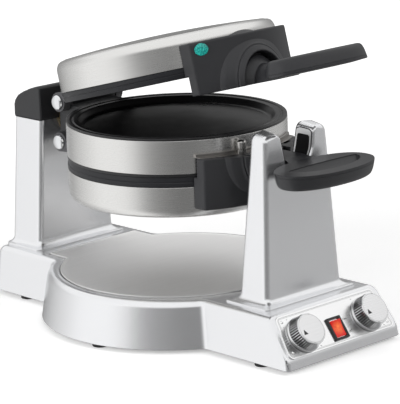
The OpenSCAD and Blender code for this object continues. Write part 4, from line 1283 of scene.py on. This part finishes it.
def buildFloor(s=studio):
    bm = bmesh.new()
    bmesh.ops.create_grid(bm, x_segments=1, y_segments=1, size=12.0)
    mesh = bpy.data.meshes.new("floor")
    bm.to_mesh(mesh)
    bm.free()
    floor = bpy.data.objects.new("floor", mesh)
    bpy.context.scene.collection.objects.link(floor)
    floor.visible_glossy = False
    mat = bpy.data.materials.new("paleFloor")
    mat.use_nodes = True
    tree = mat.node_tree
    shader = tree.nodes["Principled BSDF"]
    shader.inputs["Base Color"].default_value = s["floor"] + (1,)
    shader.inputs["Roughness"].default_value = 0.9
    shader.inputs["Specular IOR Level"].default_value = 0.1
    shader.inputs["Emission Color"].default_value = (1, 1, 1, 1)
    seen = directRays(tree)[1]
    coords = tree.nodes.new("ShaderNodeTexCoord")
    away = tree.nodes.new("ShaderNodeVectorMath")
    away.operation = "LENGTH"
    tree.links.new(coords.outputs["Object"], away.inputs[0])
    glow = spread(tree, away.outputs["Value"], 0.35, 1.6, s["glowNear"], s["glowFar"])
    tree.links.new(mathNode(tree, "MULTIPLY", seen, glow), shader.inputs["Emission Strength"])
    mesh.materials.append(mat)


def buildWorld(s=studio):
    world = bpy.data.worlds.new("studio")
    bpy.context.scene.world = world
    world.use_nodes = True
    tree = world.node_tree
    tree.nodes.clear()
    coords = tree.nodes.new("ShaderNodeTexCoord")
    split = tree.nodes.new("ShaderNodeSeparateXYZ")
    tree.links.new(coords.outputs["Generated"], split.inputs[0])
    behind = [mathNode(tree, "MULTIPLY", split.outputs[axis], -1.0) for axis in ("Y", "X")]
    backwards = mathNode(tree, "ARCTAN2", *behind)
    ramp = tree.nodes.new("ShaderNodeValToRGB")
    tree.links.new(spread(tree, backwards, -math.pi, math.pi, 0, 1), ramp.inputs[0])
    stops = ramp.color_ramp.elements
    for at, tone in s["tones"][1:-1]:
        stops.new(at / 360).color = (tone, tone, tone, 1)
    for stop, (_, tone) in ((stops[0], s["tones"][0]), (stops[-1], s["tones"][-1])):
        stop.color = (tone, tone, tone, 1)
    low, high = (math.sin(math.radians(s[k])) for k in ("low", "high"))
    rising = spread(tree, split.outputs["Z"], low, high, 0, 1)
    paths, direct = directRays(tree)
    around = mixColors(tree, mathNode(tree, "MAXIMUM", rising, direct), ramp.outputs[0], (1, 1, 1))
    seen = mathNode(tree, "MAXIMUM", direct, paths.outputs["Is Glossy Ray"])
    sky = tree.nodes.new("ShaderNodeBackground")
    output = tree.nodes.new("ShaderNodeOutputWorld")
    tree.links.new(around, sky.inputs[0])
    tree.links.new(spread(tree, seen, 0, 1, s["world"], 1.0), sky.inputs[1])
    tree.links.new(sky.outputs[0], output.inputs[0])


# places and sizes of the lamps are in metres
lamps = {
    "leftSoftbox": {"place": (-1.9, 0.15, 0.55), "size": (1.5, 1.2), "power": 28},
    "frontFill": {"place": (0.35, -1.7, 1.3), "size": (1.2, 1.0), "power": 14},
    "topSoft": {"place": (0.3, 0.4, 1.9), "size": (1.2, 1.2), "power": 3},
}
lampAim = (0, 0, 0.14)


def addLamp(name, s):
    lamp = bpy.data.lights.new(name, "AREA")
    lamp.shape = "RECTANGLE"
    lamp.size, lamp.size_y = s["size"]
    lamp.energy = s["power"]
    holder = bpy.data.objects.new(name, lamp)
    bpy.context.scene.collection.objects.link(holder)
    aim = (Vector(lampAim) - Vector(s["place"])).to_track_quat("-Z", "Y")
    holder.matrix_world = move(*s["place"]) @ aim.to_matrix().to_4x4()
    holder.visible_glossy = False


view = {
    "place": (-1558.4, -1672.6, 689.2), "azimuth": -43.46, "elevation": 14.07, "roll": -1.85,
    "focal": 2384.07, "centre": (206.72, 201.89), "size": (400, 404), "sensor": 36.0,
}


def buildCamera(s=view):
    az, el, roll = (math.radians(s[k]) for k in ("azimuth", "elevation", "roll"))
    back = Vector((math.sin(az) * math.cos(el), -math.cos(az) * math.cos(el), math.sin(el)))
    right = Vector((0, 0, 1)).cross(back).normalized()
    up = back.cross(right)
    across = right * math.cos(roll) + up * math.sin(roll)
    high = up * math.cos(roll) - right * math.sin(roll)
    longer = max(s["size"])
    camera = bpy.data.cameras.new("camera")
    camera.sensor_width = s["sensor"]
    camera.lens = s["focal"] / longer * s["sensor"]
    camera.shift_x = (s["size"][0] / 2 - s["centre"][0]) / longer
    camera.shift_y = (s["centre"][1] - s["size"][1] / 2) / longer
    camera.clip_start = 0.05
    camera.clip_end = 60.0
    holder = bpy.data.objects.new("camera", camera)
    bpy.context.scene.collection.objects.link(holder)
    facing = Matrix((across, high, back)).transposed().to_4x4()
    holder.matrix_world = Matrix.Translation(Vector(s["place"]) * 0.001) @ facing
    bpy.context.scene.camera = holder


buildFloor()
buildWorld()
for name, s in lamps.items():
    addLamp(name, s)
buildCamera()
bpy.context.scene.view_settings.view_transform = "Standard"
print("floor, light and camera made")
